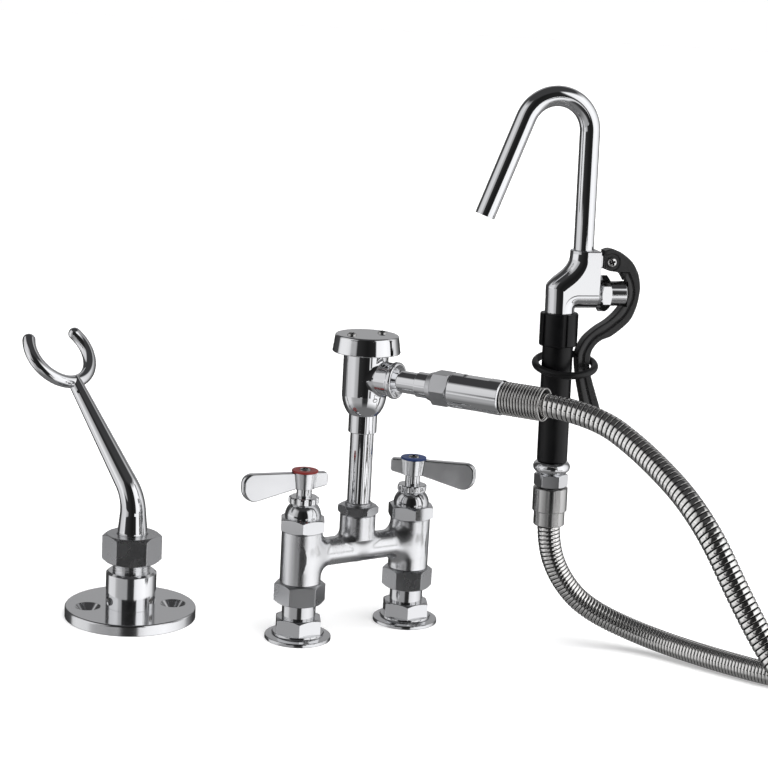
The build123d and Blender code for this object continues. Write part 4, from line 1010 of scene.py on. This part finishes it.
def studio_world():
    w = bpy.data.worlds.new("studio")
    scene.world = w
    w.use_nodes = True
    nt = w.node_tree
    nt.nodes.clear()
    out = nt.nodes.new("ShaderNodeOutputWorld")
    bg = nt.nodes.new("ShaderNodeBackground")
    nt.links.new(bg.outputs[0], out.inputs[0])
    gen = nt.nodes.new("ShaderNodeTexCoord").outputs["Generated"]

    def dot(v):
        n = node(nt, "ShaderNodeVectorMath", operation="DOT_PRODUCT")
        nt.links.new(gen, n.inputs[0])
        n.inputs[1].default_value = v
        return n.outputs["Value"]

    ang = node(nt, "ShaderNodeMath", operation="ARCTAN2")
    nt.links.new(dot(tuple(right)), ang.inputs[0])
    nt.links.new(dot(tuple(-away)), ang.inputs[1])
    phi = remap(nt, ang.outputs[0], -math.pi, math.pi, 0.0, 1.0)

    def deg(d):
        return (d + 180) / 360

    g = lambda v: (v, v, v * 1.015)

    def bands(stops):
        return ramp(nt, phi, [(deg(d), g(v)) for d, v in stops])

    white = [(36, 1.02), (70, 1.15), (96, 1.0), (118, 0.72), (128, 0.32), (142, 0.12), (152, 0.05)]
    near = bands([(-150, 0.04), (-128, 0.06), (-118, 0.10), (-112, 0.70), (-100, 0.80), (-72, 0.75), (-62, 0.45), (-50, 0.38), (-12, 0.36),
                  (-6, 0.05), (4, 0.03), (14, 0.035), (20.5, 0.06), (24, 0.85)] + white)
    middle = bands([(-150, 0.04), (-128, 0.06), (-112, 0.07), (-106, 0.55), (-98, 0.68), (-64, 0.75), (-56, 0.72), (-48, 0.50), (-36, 0.42),
                    (-31, 0.03), (4, 0.012), (30, 0.02), (33, 0.06)] + white)
    level = bands([(-150, 0.04), (-128, 0.06), (-112, 0.07), (-106, 0.75), (-98, 0.90), (-64, 0.92), (-57, 0.75), (-53, 0.06), (-40, 0.03),
                   (4, 0.012), (30, 0.02), (33, 0.06)] + white)
    behind = ramp(nt, phi, [(deg(-160), (1, 1, 1)), (deg(-140), (0, 0, 0)), (deg(142), (0, 0, 0)), (deg(156), (1, 1, 1))])
    card = ramp(nt, phi, [(deg(19.5), (0, 0, 0)), (deg(22.5), (1, 1, 1)), (deg(36), (1, 1, 1)), (deg(38), (0, 0, 0))])
    edge = ramp(nt, phi, [(deg(20.5), (0, 0, 0)), (deg(22.5), (1, 1, 1)), (deg(26.5), (1, 1, 1)), (deg(28), (0, 0, 0))])
    slip = ramp(nt, phi, [(deg(-20), (0, 0, 0)), (deg(-17), (1, 1, 1)), (deg(-9), (1, 1, 1)), (deg(-6), (0, 0, 0))])
    sep = nt.nodes.new("ShaderNodeSeparateXYZ")
    nt.links.new(gen, sep.inputs[0])
    height = sep.outputs["Z"]

    def blend(fac, a, b):
        n = node(nt, "ShaderNodeMix", data_type="RGBA")
        nt.links.new(fac, n.inputs[0])
        nt.links.new(a, n.inputs[6])
        if isinstance(b, tuple):
            n.inputs[7].default_value = b
        else:
            nt.links.new(b, n.inputs[7])
        return n.outputs[2]

    def times(a, b):
        n = node(nt, "ShaderNodeMath", operation="MULTIPLY")
        nt.links.new(a, n.inputs[0])
        nt.links.new(b, n.inputs[1])
        return n.outputs[0]

    def span(lo0, lo1, hi0, hi1):
        return times(remap(nt, height, lo0, lo1, 0.0, 1.0), remap(nt, height, hi0, hi1, 1.0, 0.0))

    sky = blend(remap(nt, height, -0.272, -0.258, 0.0, 1.0), near, middle)
    sky = blend(span(-0.120, -0.108, 0.045, 0.085), sky, level)
    sky = blend(times(card, span(-0.1640, -0.1600, -0.108, -0.105)), sky, (1.0, 1.0, 1.01, 1))
    sky = blend(times(edge, span(-0.273, -0.268, -0.165, -0.161)), sky, (0.80, 0.80, 0.81, 1))
    sky = blend(times(slip, span(-0.264, -0.258, -0.235, -0.229)), sky, (0.62, 0.62, 0.63, 1))
    sky = blend(times(behind, remap(nt, height, -0.06, 0.10, 0.0, 1.0)), sky, (0.36, 0.36, 0.366, 1))
    sky = blend(remap(nt, sep.outputs["Z"], 0.64, 0.78, 0.0, 1.0), sky, (0.05, 0.05, 0.052, 1))
    sky = blend(remap(nt, sep.outputs["Z"], -0.50, -0.75, 0.0, 1.0), sky, (0.17, 0.17, 0.172, 1))
    nt.links.new(sky, bg.inputs["Color"])
    bg.inputs["Strength"].default_value = 1.0


studio_world()
sun_data = bpy.data.lights.new("key", "SUN")
sun_data.energy = 3.5
sun_data.angle = math.radians(75)
sun = bpy.data.objects.new("key", sun_data)
scene.collection.objects.link(sun)
sun.matrix_world = Matrix.Translation((0, 0, 3)) @ (-(right * 0.35 + away * -0.25 + Vector((0, 0, 1)))).to_track_quat("-Z", "Y").to_matrix().to_4x4()
sun.visible_glossy = False
scene.view_settings.view_transform = "Standard"
